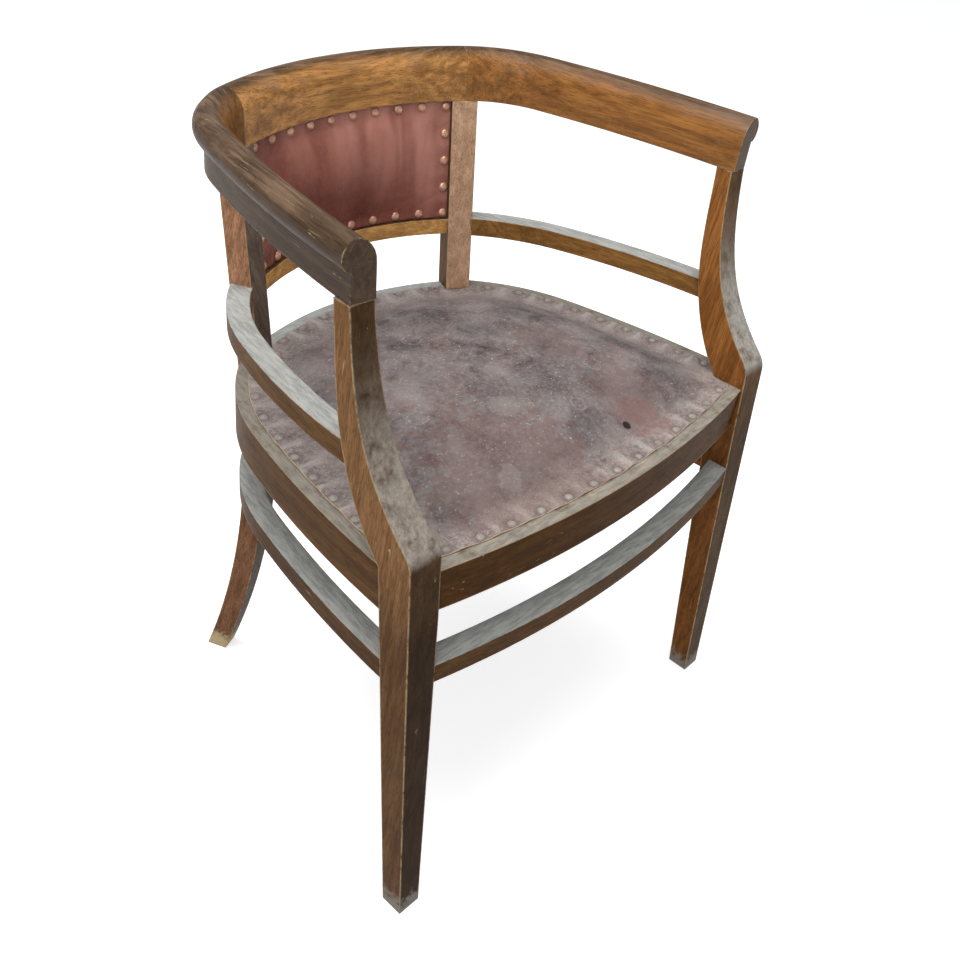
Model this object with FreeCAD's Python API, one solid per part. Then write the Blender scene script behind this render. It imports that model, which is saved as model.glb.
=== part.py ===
"""Oak tub chair: a horseshoe bow on four legs, with a nailed leather back panel and seat.

Millimetres, +Z up, the front towards -Y, the origin on the floor under the middle of the chair.
Every piece of the right half is drawn once and mirrored. A plan heading of 0 runs along +X and a
heading of 90 runs to the front, so a rail that leaves the back and turns forward gains heading.
"""
import FreeCAD
import Part
import math
import os
from collections import namedtuple
from FreeCAD import Vector

# Main places
half_depth = 254.0          # middle to the front of the front feet, and to the back of the bow
legs_width = 582.0          # over the outer faces of the front legs
seat_top = 450.0            # top of the seat rails
bow_under = 682.0           # underside of the bow

# Bow section, drawn outwards from the flat outer face
bow_height = 56.5
bow_width = 25.5            # across the underside
fascia_height = 29.0        # flat outer face below the bead
bead_overhang = 10.0
bead_lip = 4.0              # flat underside of the bead
bead_height = 21.5
bead_shoulder = 4.0
bead_facet_count = 8        # straight facets round the bead
roll_facet_count = 4        # and along each round of the inner roll
roll_peak_in = 3.0          # highest line of the roll, inside the outer face
roll_inner = 13.0
roll_inner_drop = 3.5
roll_cheek = 20.5
roll_cheek_drop = 11.5
inner_face_height = 32.0
inner_face_draw = 1.5

# Bow in plan, along the flat outer face
crest_radius = 415.0
joint_turn = 24.0           # heading of the bow joints, and the turn of the rear posts
arm_front = -122.0          # front faces of the arm ends and of the posts under them
arm_flare = 5.7             # how far the arm ends open outwards, degrees
bow_corner_ratio = 2.2      # tangent length on the arm over the tangent length on the corner
dowel_count = 2
dowel_radius = 3.5
dowel_length = 44.0
dowel_rise = 34.0           # above the underside of the bow
dowel_from_face = 7.5
dowel_pitch = 10.5

# Front legs
foot_wide = 28.0
foot_deep = 27.0
leg_wide = 38.0
leg_deep = 40.0             # at the top of the seat rails
leg_rake = 39.5             # from the foot back to the knee, on the front face
knee_above_seat = 26.0
knee_radius = 28.0
sweep_angle = 43.0          # slope of the swept face just above the knee
sweep_run = 64.0
sweep_rise = 81.0
post_wide_top = 26.0
post_deep_top = 19.5
post_deep_mid = 31.5
back_sweep_angle = 47.0
post_lean_top = 84.0        # slope of the post where it meets the arm
leg_wide_below = 52.0       # depth below the seat top over which the leg keeps its full width
leg_wide_above = 20.0       # height above the seat top over which the leg keeps its full width

# Rear legs, across and along the line from the centre of the crest curve
back_leg_wide = 32.0
back_leg_deep = 26.5        # at the top of the seat rails
back_foot_wide = 24.0
back_foot_deep = 26.0
post_rake = 26.5            # lean of the post from the seat up to the bow
post_drift = 6.5            # sideways, from the bow down to the seat
splay_below_seat = 20.0     # where the leg starts to curve
foot_splay = 44.5           # backwards, from the seat down to the floor
foot_drift = 22.0           # sideways, from the bow down to the floor

# Seat frame
seat_rail_height = 49.0
seat_rail_thick = 32.0
front_radius = 1200.0
front_rail_setback = 2.5
side_setback = 2.5
rear_setback = 4.0
rail_setback = 1.5          # of the stretchers and the rails below the arms, at the rear
rear_heading = 40.0
front_heading = 86.5
side_corner_ratio = 1.55
back_rail_radius = 375.0
back_rail_setback = 4.0
rebate_width = 9.0
rebate_long = 4.0           # on the front and back rails, which carry the lower straps
rebate_cross = 2.5          # on the side rails, which carry the upper straps

# Stretchers
stretcher_under = 318.0
stretcher_height = 23.0
stretcher_thick = 25.0
stretcher_setback = 1.0

# Rails below the arms
mid_rail_under = 518.0      # at the rear post
mid_rail_height = 22.0
mid_rail_thick = 24.0
mid_rail_slope = 2.1        # climb towards the front, degrees
mid_rail_inset = 4.0        # from the outer face of the front post
mid_rail_heading = 42.0

# Back panel
lower_rail_under = 522.0
lower_rail_height = 19.0
lower_rail_thick = 21.0
lower_rail_setback = 1.0
lower_rail_radius = 300.0
board_recess = 6.0          # behind the front faces of the crest and the lower rail
board_thick = 9.0
back_border = 13.0          # flat leather round the back padding
back_bulge = 14.0
back_rim_swell = 0.05       # least rise of the leather at the sides of the padding
back_leather_thick = 1.6
back_stations = 9           # sections across the padding
pad_facet_count = 6         # straight steps up each section of the padding
pad_slack = 0.8             # hair pad to the board and to the leather over it
pad_inset = 11.0            # hair pad inside the flat border
back_fullness = 3           # higher keeps the padding full further out to the sides
back_ease = 2               # higher lets the padding run out more gently
panel_lap = 8.0             # drawn past the post faces that trim the panel

# Seat layers
strap_wide = 50.0
strap_thick = 1.5
strap_pitch_long = 78.0
strap_pitch_cross = 82.0
strap_count = 4
hessian_thick = 1.0
leather_inset = 13.0        # wooden margin outside the cut edge of the seat leather
leather_thick = 1.8
cover_gap = 3.0             # between the leather and the legs it is cut round
crease_inset = 47.0         # where the flat border turns up into the crown
crown_height = 29.0
crown_run = 110.0           # from the crease in to the top of the crown
crown_ring_count = 5
ring_facet_count = 6        # straight steps along each arc of a ring
pin_sides = 8               # of dowels, screws and their holes

# Dome nails
seat_nail_radius = 4.8
seat_nail_dome = 2.8
seat_nail_inset = 19.5
seat_nail_pitch = 39.0
back_nail_radius = 5.6
back_nail_dome = 3.4
back_nail_margin = 6.6
back_nail_count_across = 10
back_nail_count_up = 4
outer_nail_count_across = 7
outer_nail_count_up = 3
nail_sides = 6
nail_rings = 2
nail_clear = 1.0            # from a seat nail to a leg

# Joinery
tenon_thick = 9.0
tenon_shoulder = 6.0        # from the top and bottom of a rail to its tenon
tenon_long = 12.0           # into a front leg
tenon_short = 9.0           # into a rear leg
tenon_root = 14.0           # kept inside the rail
post_tenon_height = 20.0
post_tenon_shoulder = 5.5
glue_gap = 0.15
tenon_end_gap = 0.5
rail_lead = 16.0            # straight length of a rail that is trimmed against a leg
soft_gap = 0.3

# Corner braces
brace_front_reach = 62.0
brace_side_reach = 66.0
brace_rear_reach = 58.0
brace_height = 30.0
brace_drop = 9.0            # below the rebate of the seat rails
screw_radius = 2.1
screw_head_radius = 4.2
screw_head_height = 2.6
screw_into_leg = 9.0
front_screw_heading = 45.0

# Values that follow
leg_out = legs_width / 2
fascia_back = half_depth - bead_overhang
crest_centre = Vector(0, fascia_back - crest_radius, 0)
seat_under = seat_top - seat_rail_height
knee_height = seat_top + knee_above_seat
stretcher_middle = stretcher_under + stretcher_height / 2
mid_rail_middle = mid_rail_under + mid_rail_height / 2
lower_rail_top = lower_rail_under + lower_rail_height
beyond = 2 * half_depth + legs_width    # longer than the chair, for cutting tools
mirror_plane = Vector(1, 0, 0)
upright = Vector(0, 0, 1)
origin = Vector(0, 0, 0)

PlanArc = namedtuple("PlanArc", "centre radius begin end")
LegEdge = namedtuple("LegEdge", "top bend foot")
Fitted = namedtuple("Fitted", "rail mortises")


def run_of(heading):
    """Unit vector along a plan heading."""
    turn = math.radians(heading)
    return Vector(math.cos(turn), -math.sin(turn), 0)


def out_of(heading):
    """Unit vector to the outside of a plan heading."""
    turn = math.radians(heading)
    return Vector(math.sin(turn), math.cos(turn), 0)


def on_arc(arc, heading, inset=0.0):
    """Point of a plan arc at a heading, moved inwards by an inset."""
    return arc.centre + out_of(heading) * (arc.radius - inset)


def line(a, b):
    """Straight edge."""
    return Part.LineSegment(a, b).toShape()


def curve(a, b, c):
    """Circular edge through three points."""
    return Part.Arc(a, b, c).toShape()


def arc_points(a, b, c, count):
    """Points in even steps along the circle through three points."""
    return curve(a, b, c).discretize(count + 1)


def chords(a, b, c, count):
    """Straight edges that follow the circle through three points."""
    points = arc_points(a, b, c, count)
    return [line(start, end) for start, end in zip(points, points[1:])]


def stacked(rings):
    """Solid through closed rings of points, with flat ends and three-cornered sides."""
    faces = [polygon(rings[0]), polygon(rings[-1])]
    for low, high in zip(rings, rings[1:]):
        for index in range(len(low)):
            after = (index + 1) % len(low)
            faces.append(polygon([low[index], low[after], high[after]]))
            faces.append(polygon([low[index], high[after], high[index]]))
    solid = Part.Solid(Part.Shell(faces))
    if solid.Volume < 0:
        solid.reverse()
    return solid


def polygon(points):
    """Flat face with straight sides."""
    return Part.Face(Part.makePolygon(points + points[:1]))


def largest(shape):
    """The biggest solid of a cut shape."""
    return max(shape.Solids, key=lambda solid: solid.Volume)


def one_solid(shape):
    """A joined shape without the seams between its pieces."""
    return largest(shape.removeSplitter())


def mirrored(shape):
    """The left-hand copy of a right-hand piece."""
    return shape.mirror(origin, mirror_plane)


def arc_pair(start, begin, finish, end, ratio):
    """Two tangent plan arcs from one point and heading to another."""
    span = finish - start
    first = run_of(begin)
    last = run_of(end)
    square = 2 * ratio * (1 - first.dot(last))
    linear = 2 * span.dot(last * ratio + first)
    reach = (math.sqrt(linear ** 2 + 4 * square * span.dot(span)) - linear) / (2 * square)
    corner = finish - last * (ratio * reach) - start - first * reach
    middle = math.degrees(math.atan2(-corner.y, corner.x))
    near_radius = reach / math.tan(math.radians(middle - begin) / 2)
    far_radius = ratio * reach / math.tan(math.radians(end - middle) / 2)
    near = PlanArc(start - out_of(begin) * near_radius, near_radius, begin, middle)
    far = PlanArc(finish - out_of(end) * far_radius, far_radius, middle, end)
    return [near, far]


def arc_edge(arc, inset, height, backwards=False):
    """Edge of a plan arc at an inset and a height."""
    lift = upright * height
    headings = [arc.begin, (arc.begin + arc.end) / 2, arc.end]
    if backwards:
        headings.reverse()
    return curve(*[on_arc(arc, heading, inset) + lift for heading in headings])


def band(arcs, thick, under, height, lead=rail_lead):
    """Flat curved rail: a strip along plan arcs, with a straight lead at each end."""
    lift = upright * under
    first = arcs[0]
    last = arcs[-1]
    lead_in = run_of(first.begin) * -lead
    lead_out = run_of(last.end) * lead
    outer_start = on_arc(first, first.begin) + lift
    outer_end = on_arc(last, last.end) + lift
    inner_start = on_arc(first, first.begin, thick) + lift
    inner_end = on_arc(last, last.end, thick) + lift
    edges = [line(outer_start + lead_in, outer_start)]
    edges += [arc_edge(arc, 0, under) for arc in arcs]
    edges.append(line(outer_end, outer_end + lead_out))
    edges.append(line(outer_end + lead_out, inner_end + lead_out))
    edges.append(line(inner_end + lead_out, inner_end))
    edges += [arc_edge(arc, thick, under, True) for arc in reversed(arcs)]
    edges.append(line(inner_start, inner_start + lead_in))
    edges.append(line(inner_start + lead_in, outer_start + lead_in))
    return Part.Face(Part.Wire(edges)).extrude(upright * height)


def turned_box(place, heading, begin, end, thick, under, height):
    """Box along a plan heading, from begin to end of a place on its centre line."""
    box = Part.makeBox(end - begin, thick, height, Vector(begin, -thick / 2, 0))
    box.rotate(origin, upright, -heading)
    box.translate(Vector(place.x, place.y, under))
    return box


def tenon_pair(place, heading, length, under, height):
    """A tenon that leaves a rail end, and the mortise that takes it."""
    low = under + tenon_shoulder
    tall = height - 2 * tenon_shoulder
    tenon = turned_box(place, heading, -tenon_root, length, tenon_thick, low, tall)
    mortise = turned_box(place, heading, -tenon_root, length + tenon_end_gap,
                         tenon_thick + 2 * glue_gap, low - glue_gap, tall + 2 * glue_gap)
    return tenon, mortise


def edge_at(edge, height):
    """Place of a leg edge at a height: straight down to the bend, then a tangent arc to the foot."""
    if height >= edge.bend[1]:
        share = (height - edge.bend[1]) / (edge.top[1] - edge.bend[1])
        return edge.bend[0] + share * (edge.top[0] - edge.bend[0])
    middle, radius = edge_circle(edge)
    side = 1 if radius > 0 else -1
    return middle[0] - side * math.sqrt(radius ** 2 - (height - middle[1]) ** 2)


def edge_circle(edge):
    """Centre and signed radius of the arc below the bend of a leg edge."""
    lean = math.hypot(edge.top[0] - edge.bend[0], edge.top[1] - edge.bend[1])
    across = (edge.top[1] - edge.bend[1]) / lean
    along = -(edge.top[0] - edge.bend[0]) / lean
    run = edge.foot[0] - edge.bend[0]
    drop = edge.foot[1] - edge.bend[1]
    radius = (run ** 2 + drop ** 2) / (2 * (run * across + drop * along))
    return (edge.bend[0] + radius * across, edge.bend[1] + radius * along), radius


def edge_shapes(edge, place):
    """Edges of a leg side from the top down to the foot. place turns (across, height) into a point."""
    half = edge.bend[1] / 2
    middle = place(edge_at(edge, half), half)
    return [line(place(*edge.top), place(*edge.bend)), curve(place(*edge.bend), middle, place(*edge.foot))]


def front_leg_profile():
    """Side view of a front leg: straight foot, rounded knee, swept post."""
    foot_front = -half_depth
    slope = math.atan2(knee_height, leg_rake)
    sweep = math.radians(sweep_angle)
    knee = Vector(0, foot_front + leg_rake, knee_height)
    tangent = knee_radius * math.tan((slope - sweep) / 2)
    below = knee - Vector(0, math.cos(slope), math.sin(slope)) * tangent
    above = knee + Vector(0, math.cos(sweep), math.sin(sweep)) * tangent
    bisector = (slope + sweep) / 2
    inward = Vector(0, math.sin(bisector), -math.cos(bisector))
    round_gap = knee_radius / math.cos((slope - sweep) / 2) - knee_radius
    round_middle = knee + inward * round_gap
    front_middle = knee + Vector(0, sweep_run, sweep_rise)
    front_top = Vector(0, arm_front, bow_under)
    rear_top = front_top + Vector(0, post_deep_top, 0)
    rear_middle = front_middle + Vector(0, post_deep_mid, 0)
    rear_seat = Vector(0, front_leg_back(seat_top), seat_top)
    foot = Vector(0, foot_front, 0)
    heel = Vector(0, foot_front + foot_deep, 0)
    front_curve = swept_curve(above, front_middle, front_top, sweep_angle)
    rear_curve = swept_curve(rear_seat, rear_middle, rear_top, back_sweep_angle)
    edges = [line(heel, foot), line(foot, below), curve(below, round_middle, above), front_curve]
    edges += [line(front_top, rear_top), rear_curve, line(rear_seat, heel)]
    return Part.Face(Part.Wire(Part.__sortEdges__(edges)))


def swept_curve(low, middle, high, low_angle):
    """Smooth edge of the post through three points, with a set slope at both ends."""
    start = math.radians(low_angle)
    finish = math.radians(post_lean_top)
    spline = Part.BSplineCurve()
    spline.interpolate(Points=[low, middle, high],
                       InitialTangent=Vector(0, math.cos(start), math.sin(start)),
                       FinalTangent=Vector(0, math.cos(finish), math.sin(finish)))
    return spline.toShape()


def front_leg_face(height):
    """Y of the straight front face of a front leg below the knee."""
    return -half_depth + leg_rake * height / knee_height


def front_leg_back(height):
    """Y of the straight rear face of a front leg below the seat top."""
    seat_back = front_leg_face(seat_top) + leg_deep
    heel = -half_depth + foot_deep
    return heel + (seat_back - heel) * height / seat_top


def front_leg_inside(height):
    """X of the inner face of a front leg at or below the seat."""
    full = seat_top - leg_wide_below
    wide = min(1.0, height / full) * (leg_wide - foot_wide) + foot_wide
    return leg_out - wide


def front_leg():
    """Right front leg with its post, sawn to a side view and a front view."""
    side = front_leg_profile().extrude(Vector(leg_out, 0, 0))
    outline = [Vector(leg_out, -half_depth, 0), Vector(leg_out, -half_depth, bow_under)]
    outline.append(Vector(leg_out - post_wide_top, -half_depth, bow_under))
    outline.append(Vector(leg_out - leg_wide, -half_depth, seat_top + leg_wide_above))
    outline.append(Vector(leg_out - leg_wide, -half_depth, seat_top - leg_wide_below))
    outline.append(Vector(leg_out - foot_wide, -half_depth, 0))
    front = polygon(outline).extrude(Vector(0, beyond, 0))
    return largest(side.common(front))


def back_leg_edges():
    """Front, rear, outer and inner edges of a rear leg, in its own upright planes."""
    bend = seat_top - splay_below_seat
    inner = crest_radius - bow_width
    lean = post_rake / (bow_under - seat_top)
    rear_lean = (bow_width + post_rake - back_leg_deep) / (bow_under - seat_top)
    seat_front = inner - post_rake
    foot_front = seat_front + foot_splay
    front = LegEdge((inner, bow_under), (inner - lean * (bow_under - bend), bend), (foot_front, 0))
    rear = LegEdge((crest_radius, bow_under), (crest_radius - rear_lean * (bow_under - bend), bend),
                   (foot_front + back_foot_deep, 0))
    half = back_leg_wide / 2
    drift = post_drift / (bow_under - seat_top) * (bow_under - bend)
    outer = LegEdge((half, bow_under), (drift + half, bend), (foot_drift + back_foot_wide / 2, 0))
    inside = LegEdge((-half, bow_under), (drift - half, bend), (foot_drift - back_foot_wide / 2, 0))
    return front, rear, outer, inside


def turned_face(left, right, place):
    """Flat face between two leg edges."""
    left_edges = edge_shapes(left, place)
    right_edges = edge_shapes(right, place)
    caps = [line(place(*left.top), place(*right.top)), line(place(*left.foot), place(*right.foot))]
    return Part.Face(Part.Wire(Part.__sortEdges__(left_edges + right_edges + caps)))


def back_leg():
    """Right rear post and leg, sawn to a side view and a front view, turned to face the seat."""
    front, rear, outer, inside = back_leg_edges()
    side = turned_face(front, rear, lambda across, up: Vector(-beyond, across, up))
    face = turned_face(inside, outer, lambda across, up: Vector(across, 0, up))
    leg = largest(side.extrude(Vector(2 * beyond, 0, 0)).common(face.extrude(Vector(0, beyond, 0))))
    leg.rotate(origin, upright, -joint_turn)
    leg.translate(crest_centre)
    return leg


def back_leg_corner(height, outer_side, rear_side):
    """Plan point of a corner of the right rear leg at a height."""
    front, rear, outer, inside = back_leg_edges()
    along = edge_at(rear if rear_side else front, height)
    across = edge_at(outer if outer_side else inside, height)
    return crest_centre + run_of(joint_turn) * across + out_of(joint_turn) * along


def bow_section(arc, heading):
    """Moulded section of the bow, standing on the underside at a heading of an arc."""
    def place(out, up):
        return on_arc(arc, heading, -out) + upright * (bow_under + up)

    bead_top = fascia_height + bead_height
    inner_bottom = place(-bow_width, 0)
    outer_bottom = place(0, 0)
    fascia_top = place(0, fascia_height)
    lip = place(bead_lip, fascia_height)
    bead_middle = place(bead_overhang, fascia_height + bead_height / 2)
    shoulder = place(bead_overhang - bead_shoulder, bead_top)
    peak = place(-roll_peak_in, bow_height)
    roll = place(-roll_inner, bow_height - roll_inner_drop)
    cheek = place(-roll_cheek, bow_height - roll_cheek_drop)
    inner_top = place(inner_face_draw - bow_width, inner_face_height)
    edges = [line(inner_bottom, outer_bottom), line(outer_bottom, fascia_top), line(fascia_top, lip)]
    edges += chords(lip, bead_middle, shoulder, bead_facet_count)
    edges += chords(shoulder, peak, roll, roll_facet_count) + chords(roll, cheek, inner_top, roll_facet_count)
    edges.append(line(inner_top, inner_bottom))
    return Part.Face(Part.Wire(edges))


def bow_piece(arc):
    """Length of bow turned about the centre of one plan arc."""
    return bow_section(arc, arc.begin).revolve(arc.centre, upright, arc.begin - arc.end)


def crest_arc():
    """Plan arc of the crest between the two bow joints."""
    return PlanArc(crest_centre, crest_radius, -joint_turn, joint_turn)


def arm_arcs():
    """Plan arcs of the right arm, from the bow joint to the arm end."""
    joint = on_arc(crest_arc(), joint_turn)
    return arc_pair(joint, joint_turn, Vector(leg_out, arm_front, 0), 90 - arm_flare, bow_corner_ratio)


def ring(sides, radius, height):
    """Corners of an upright many-sided ring."""
    turn = 360 / sides
    return [run_of(turn * -index) * radius + upright * height for index in range(sides)]


def placed(shape, point, axis):
    """Upright shape moved to a point and turned along an axis."""
    shape.Placement = FreeCAD.Placement(point, FreeCAD.Rotation(upright, axis))
    return shape


def pin(point, axis, length, radius):
    """Many-sided pin from a point along an axis."""
    return placed(polygon(ring(pin_sides, radius, 0)).extrude(upright * length), point, axis)


def bow_dowels(gap=0.0, end_gap=0.0):
    """Dowels across the right bow joint, or their holes when they have gaps."""
    joint = on_arc(crest_arc(), joint_turn)
    along = run_of(joint_turn)
    reach = dowel_length / 2 + end_gap
    pins = []
    for index in range(dowel_count):
        inset = dowel_from_face + index * dowel_pitch
        middle = joint - out_of(joint_turn) * inset + upright * (bow_under + dowel_rise)
        pins.append(pin(middle - along * reach, along, 2 * reach, dowel_radius + gap))
    return pins


def post_tenon(middle, heading, wide, deep, gap=0.0):
    """Tenon on top of a post, or its mortise in the bow when it has a gap."""
    long = wide - 2 * post_tenon_shoulder
    thick = deep - 2 * post_tenon_shoulder
    height = post_tenon_height + (tenon_end_gap if gap else 0.0)
    root = tenon_root if not gap else 0.0
    return turned_box(middle, heading, -long / 2 - gap, long / 2 + gap, thick + 2 * gap,
                      bow_under - root, height + root)


def front_post_tenon(gap=0.0):
    """Tenon of the right front post, or its mortise in the arm when it has a gap."""
    middle = Vector(leg_out - post_wide_top / 2, arm_front + post_deep_top / 2, 0)
    return post_tenon(middle, 0, post_wide_top, post_deep_top, gap)


def back_post_tenon(gap=0.0):
    """Tenon of the right rear post, or its mortise under the bow joint when it has a gap."""
    middle = on_arc(crest_arc(), joint_turn, bow_width / 2)
    return post_tenon(middle, joint_turn, back_leg_wide, bow_width, gap)


def seat_side_arcs(height, setback):
    """Outer plan line of a right side rail or stretcher, from the rear leg to the front leg."""
    rear = back_leg_corner(height, True, True) - out_of(rear_heading) * setback
    front = Vector(leg_out - side_setback, front_leg_back(height), 0)
    return arc_pair(rear, rear_heading, front, front_heading, side_corner_ratio)


def mid_rail_arcs():
    """Outer plan line of the right rail below the arm."""
    rear = back_leg_corner(mid_rail_middle, True, True) - out_of(mid_rail_heading) * rail_setback
    front_y = -half_depth + leg_rake + sweep_run + post_deep_mid
    front = Vector(leg_out - mid_rail_inset, front_y, 0)
    return arc_pair(rear, mid_rail_heading, front, front_heading, side_corner_ratio)


def front_arc(height, setback):
    """Bowed plan line of the front rail or stretcher between the inner faces of the front legs."""
    half = front_leg_inside(height)
    ends = front_leg_face(height) + setback
    turn = math.degrees(math.asin(half / front_radius))
    centre = Vector(0, ends + front_radius * math.cos(math.radians(turn)), 0)
    return PlanArc(centre, front_radius, 180 - turn, 180 + turn)


def rear_arc(height, radius, setback, rear_side=True):
    """Bowed plan line of a back rail between the inner faces of the rear legs."""
    corner = back_leg_corner(height, False, rear_side)
    depth = corner.y - setback
    turn = math.degrees(math.asin(corner.x / radius))
    return PlanArc(Vector(0, depth - radius * math.cos(math.radians(turn)), 0), radius, -turn, turn)


def fitted_rail(body, hosts, tenons):
    """Rail trimmed against the legs at its ends, with its tenons."""
    for host in hosts:
        body = largest(body.cut(host))
    for tenon in tenons:
        body = body.fuse(tenon)
    return one_solid(body)


def end_tenons(arcs, thick, under, height, start_length, end_length):
    """Tenons and mortises of both ends of a rail along plan arcs."""
    first = arcs[0]
    last = arcs[-1]
    start = on_arc(first, first.begin, thick / 2)
    end = on_arc(last, last.end, thick / 2)
    pairs = [tenon_pair(start, first.begin + 180, start_length, under, height)]
    pairs.append(tenon_pair(end, last.end, end_length, under, height))
    return [pair[0] for pair in pairs], [pair[1] for pair in pairs]


def side_rail(arcs, thick, under, height, legs, slope=0.0):
    """Right-hand curved rail between a rear leg and a front leg, and its mortises."""
    tenons, mortises = end_tenons(arcs, thick, under, height, tenon_short, tenon_long)
    body = band(arcs, thick, under, height)
    pivot = on_arc(arcs[0], arcs[0].begin) + upright * under
    for shape in [body] + tenons + mortises:
        shape.rotate(pivot, mirror_plane, -slope)
    return Fitted(fitted_rail(body, legs, tenons), mortises)


def cross_rail(arc, thick, under, height, host, length):
    """Rail between the left and right legs, and the mortise of the right leg."""
    tenons, mortises = end_tenons([arc], thick, under, height, length, length)
    rail = fitted_rail(band([arc], thick, under, height), [host, mirrored(host)], tenons)
    return Fitted(rail, [max(mortises, key=lambda mortise: mortise.CenterOfMass.x)])


def rebate(arcs, thick, depth):
    """Step along the inner top edge of a seat rail."""
    inner = [PlanArc(arc.centre, arc.radius - thick + rebate_width, arc.begin, arc.end) for arc in arcs]
    return band(inner, rebate_width + rail_lead, seat_top - depth, depth + rail_lead, 2 * rail_lead)


def crossing(one, inset_one, other, inset_other, near):
    """Plan crossing of two inset arcs, the one nearest to a point."""
    radius_one = one.radius - inset_one
    radius_other = other.radius - inset_other
    apart = other.centre - one.centre
    gap = apart.Length
    along = (gap ** 2 + radius_one ** 2 - radius_other ** 2) / (2 * gap)
    across = math.sqrt(radius_one ** 2 - along ** 2)
    forward = apart / gap
    sideways = Vector(-forward.y, forward.x, 0) * across
    middle = one.centre + forward * along
    return min([middle + sideways, middle - sideways], key=lambda point: (point - near).Length)


def heading_of(arc, point):
    """Heading of a plan arc at a point on it."""
    away = point - arc.centre
    return math.degrees(math.atan2(away.x, away.y))


def seat_lines():
    """Front, corner, side and back plan arcs of the seat frame's outer edge."""
    corner, side = seat_side_arcs(seat_top, rear_setback)
    front = front_arc(seat_top, front_rail_setback)
    back = rear_arc(seat_top, back_rail_radius, back_rail_setback)
    return front, side, corner, back


def seat_corners(inset):
    """Right front and right rear plan corners of the seat edge at an inset."""
    front, side, corner, back = seat_lines()
    front_corner = crossing(front, inset, side, inset, Vector(leg_out, -half_depth, 0))
    rear_corner = crossing(corner, inset, back, inset, back_leg_corner(seat_top, True, True))
    return front_corner, rear_corner


def seat_loop(inset, height):
    """Start, middle and end of each arc of the seat edge at an inset and a height, all round."""
    front, side, corner, back = seat_lines()
    front_corner, rear_corner = seat_corners(inset)
    lift = upright * height
    bend = on_arc(corner, corner.end, inset)

    def left(point):
        return Vector(-point.x, point.y, point.z)

    side_middle = on_arc(side, (heading_of(side, front_corner) + side.begin) / 2, inset)
    corner_middle = on_arc(corner, (heading_of(corner, rear_corner) + corner.end) / 2, inset)
    front_middle = on_arc(front, 180, inset)
    back_middle = on_arc(back, 0, inset)
    right = [(front_corner, side_middle, bend), (bend, corner_middle, rear_corner)]
    loop = [(left(front_corner), front_middle, front_corner)] + right
    loop.append((rear_corner, back_middle, left(rear_corner)))
    loop += [(left(end), left(middle), left(start)) for start, middle, end in reversed(right)]
    return [[point + lift for point in points] for points in loop]


def seat_outline(inset, height):
    """Closed wire of the seat edge at an inset and a height."""
    return Part.Wire([curve(*points) for points in seat_loop(inset, height)])


def seat_ring(inset, height):
    """Points in even steps along each arc of the seat edge at an inset and a height."""
    return sum([arc_points(*points, ring_facet_count)[:-1] for points in seat_loop(inset, height)], [])


def crown_rings(drop):
    """Rings of points over the seat that flatten as they rise, lowered by an amount."""
    rings = []
    for step in range(crown_ring_count + 1):
        part = step / crown_ring_count
        rise = (crown_height - leather_thick) * (1 - (1 - part) ** 2)
        rings.append(seat_ring(crease_inset + crown_run * part, seat_top + leather_thick + rise - drop))
    return rings


def leg_notches(gap):
    """Clear space round the posts for the seat cover."""
    front_y = front_leg_back(seat_top) + gap
    front = Part.makeBox(leg_wide + gap, beyond, crown_height,
                         Vector(leg_out - leg_wide - gap, front_y - beyond, seat_top))
    corner = back_leg_corner(seat_top, True, False)
    middle = corner - run_of(joint_turn) * (back_leg_wide / 2) - out_of(joint_turn) * gap
    rear = turned_box(middle, joint_turn - 90, 0, beyond, back_leg_wide + 2 * gap, seat_top, crown_height)
    return [front, rear, mirrored(front), mirrored(rear)]


def seat_leather():
    """Leather sheet: a flat nailed border that turns up into the crown."""
    border = [seat_ring(leather_inset, seat_top), seat_ring(leather_inset, seat_top + leather_thick)]
    return cut_all(stacked(crown_rings(leather_thick)[::-1] + border + crown_rings(0)), leg_notches(cover_gap))


def seat_stuffing():
    """Hair pad that fills the crown under the leather."""
    rings = crown_rings(leather_thick + soft_gap)
    rings[0] = seat_ring(crease_inset + cover_gap, seat_top)
    return cut_all(stacked(rings), leg_notches(cover_gap + soft_gap))


def seat_floor(under, thick):
    """Flat sheet inside the rebates of the seat rails."""
    inset = seat_rail_thick - rebate_width + soft_gap
    return Part.Face(seat_outline(inset, under)).extrude(upright * thick)


def straps(along_x, legs):
    """Jute straps one way across the seat, trimmed to the rebates."""
    under = seat_top - rebate_long + (strap_thick if along_x else 0.0)
    sheet = seat_floor(under, strap_thick)
    pitch = strap_pitch_cross if along_x else strap_pitch_long
    front, side, corner, back = seat_lines()
    middle_y = (on_arc(front, 180).y + on_arc(back, 0).y) / 2
    pieces = []
    for index in range(strap_count):
        shift = (index - (strap_count - 1) / 2) * pitch
        place = Vector(0, middle_y + shift, 0) if along_x else Vector(shift, middle_y, 0)
        heading = 0 if along_x else 90
        strip = turned_box(place, heading, -beyond, beyond, strap_wide, under, strap_thick)
        pieces.append(cut_all(sheet.common(strip), legs))
    return pieces


def nail(point, axis, radius, dome):
    """Nail head in flat faces: rings of corners on a ball, from the rim up to a small flat top."""
    ball = (radius ** 2 + dome ** 2) / (2 * dome)
    steep = math.asin(radius / ball)
    leans = [steep * (1 - step / nail_rings) for step in range(nail_rings)]
    rings = [ring(nail_sides, ball * math.sin(lean), dome - ball * (1 - math.cos(lean))) for lean in leans]
    return placed(stacked(rings), point, axis)


def nails(seats, radius, dome):
    """Group of nail heads on their seats."""
    return Part.makeCompound([nail(point, axis, radius, dome) for point, axis in seats])


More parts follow.
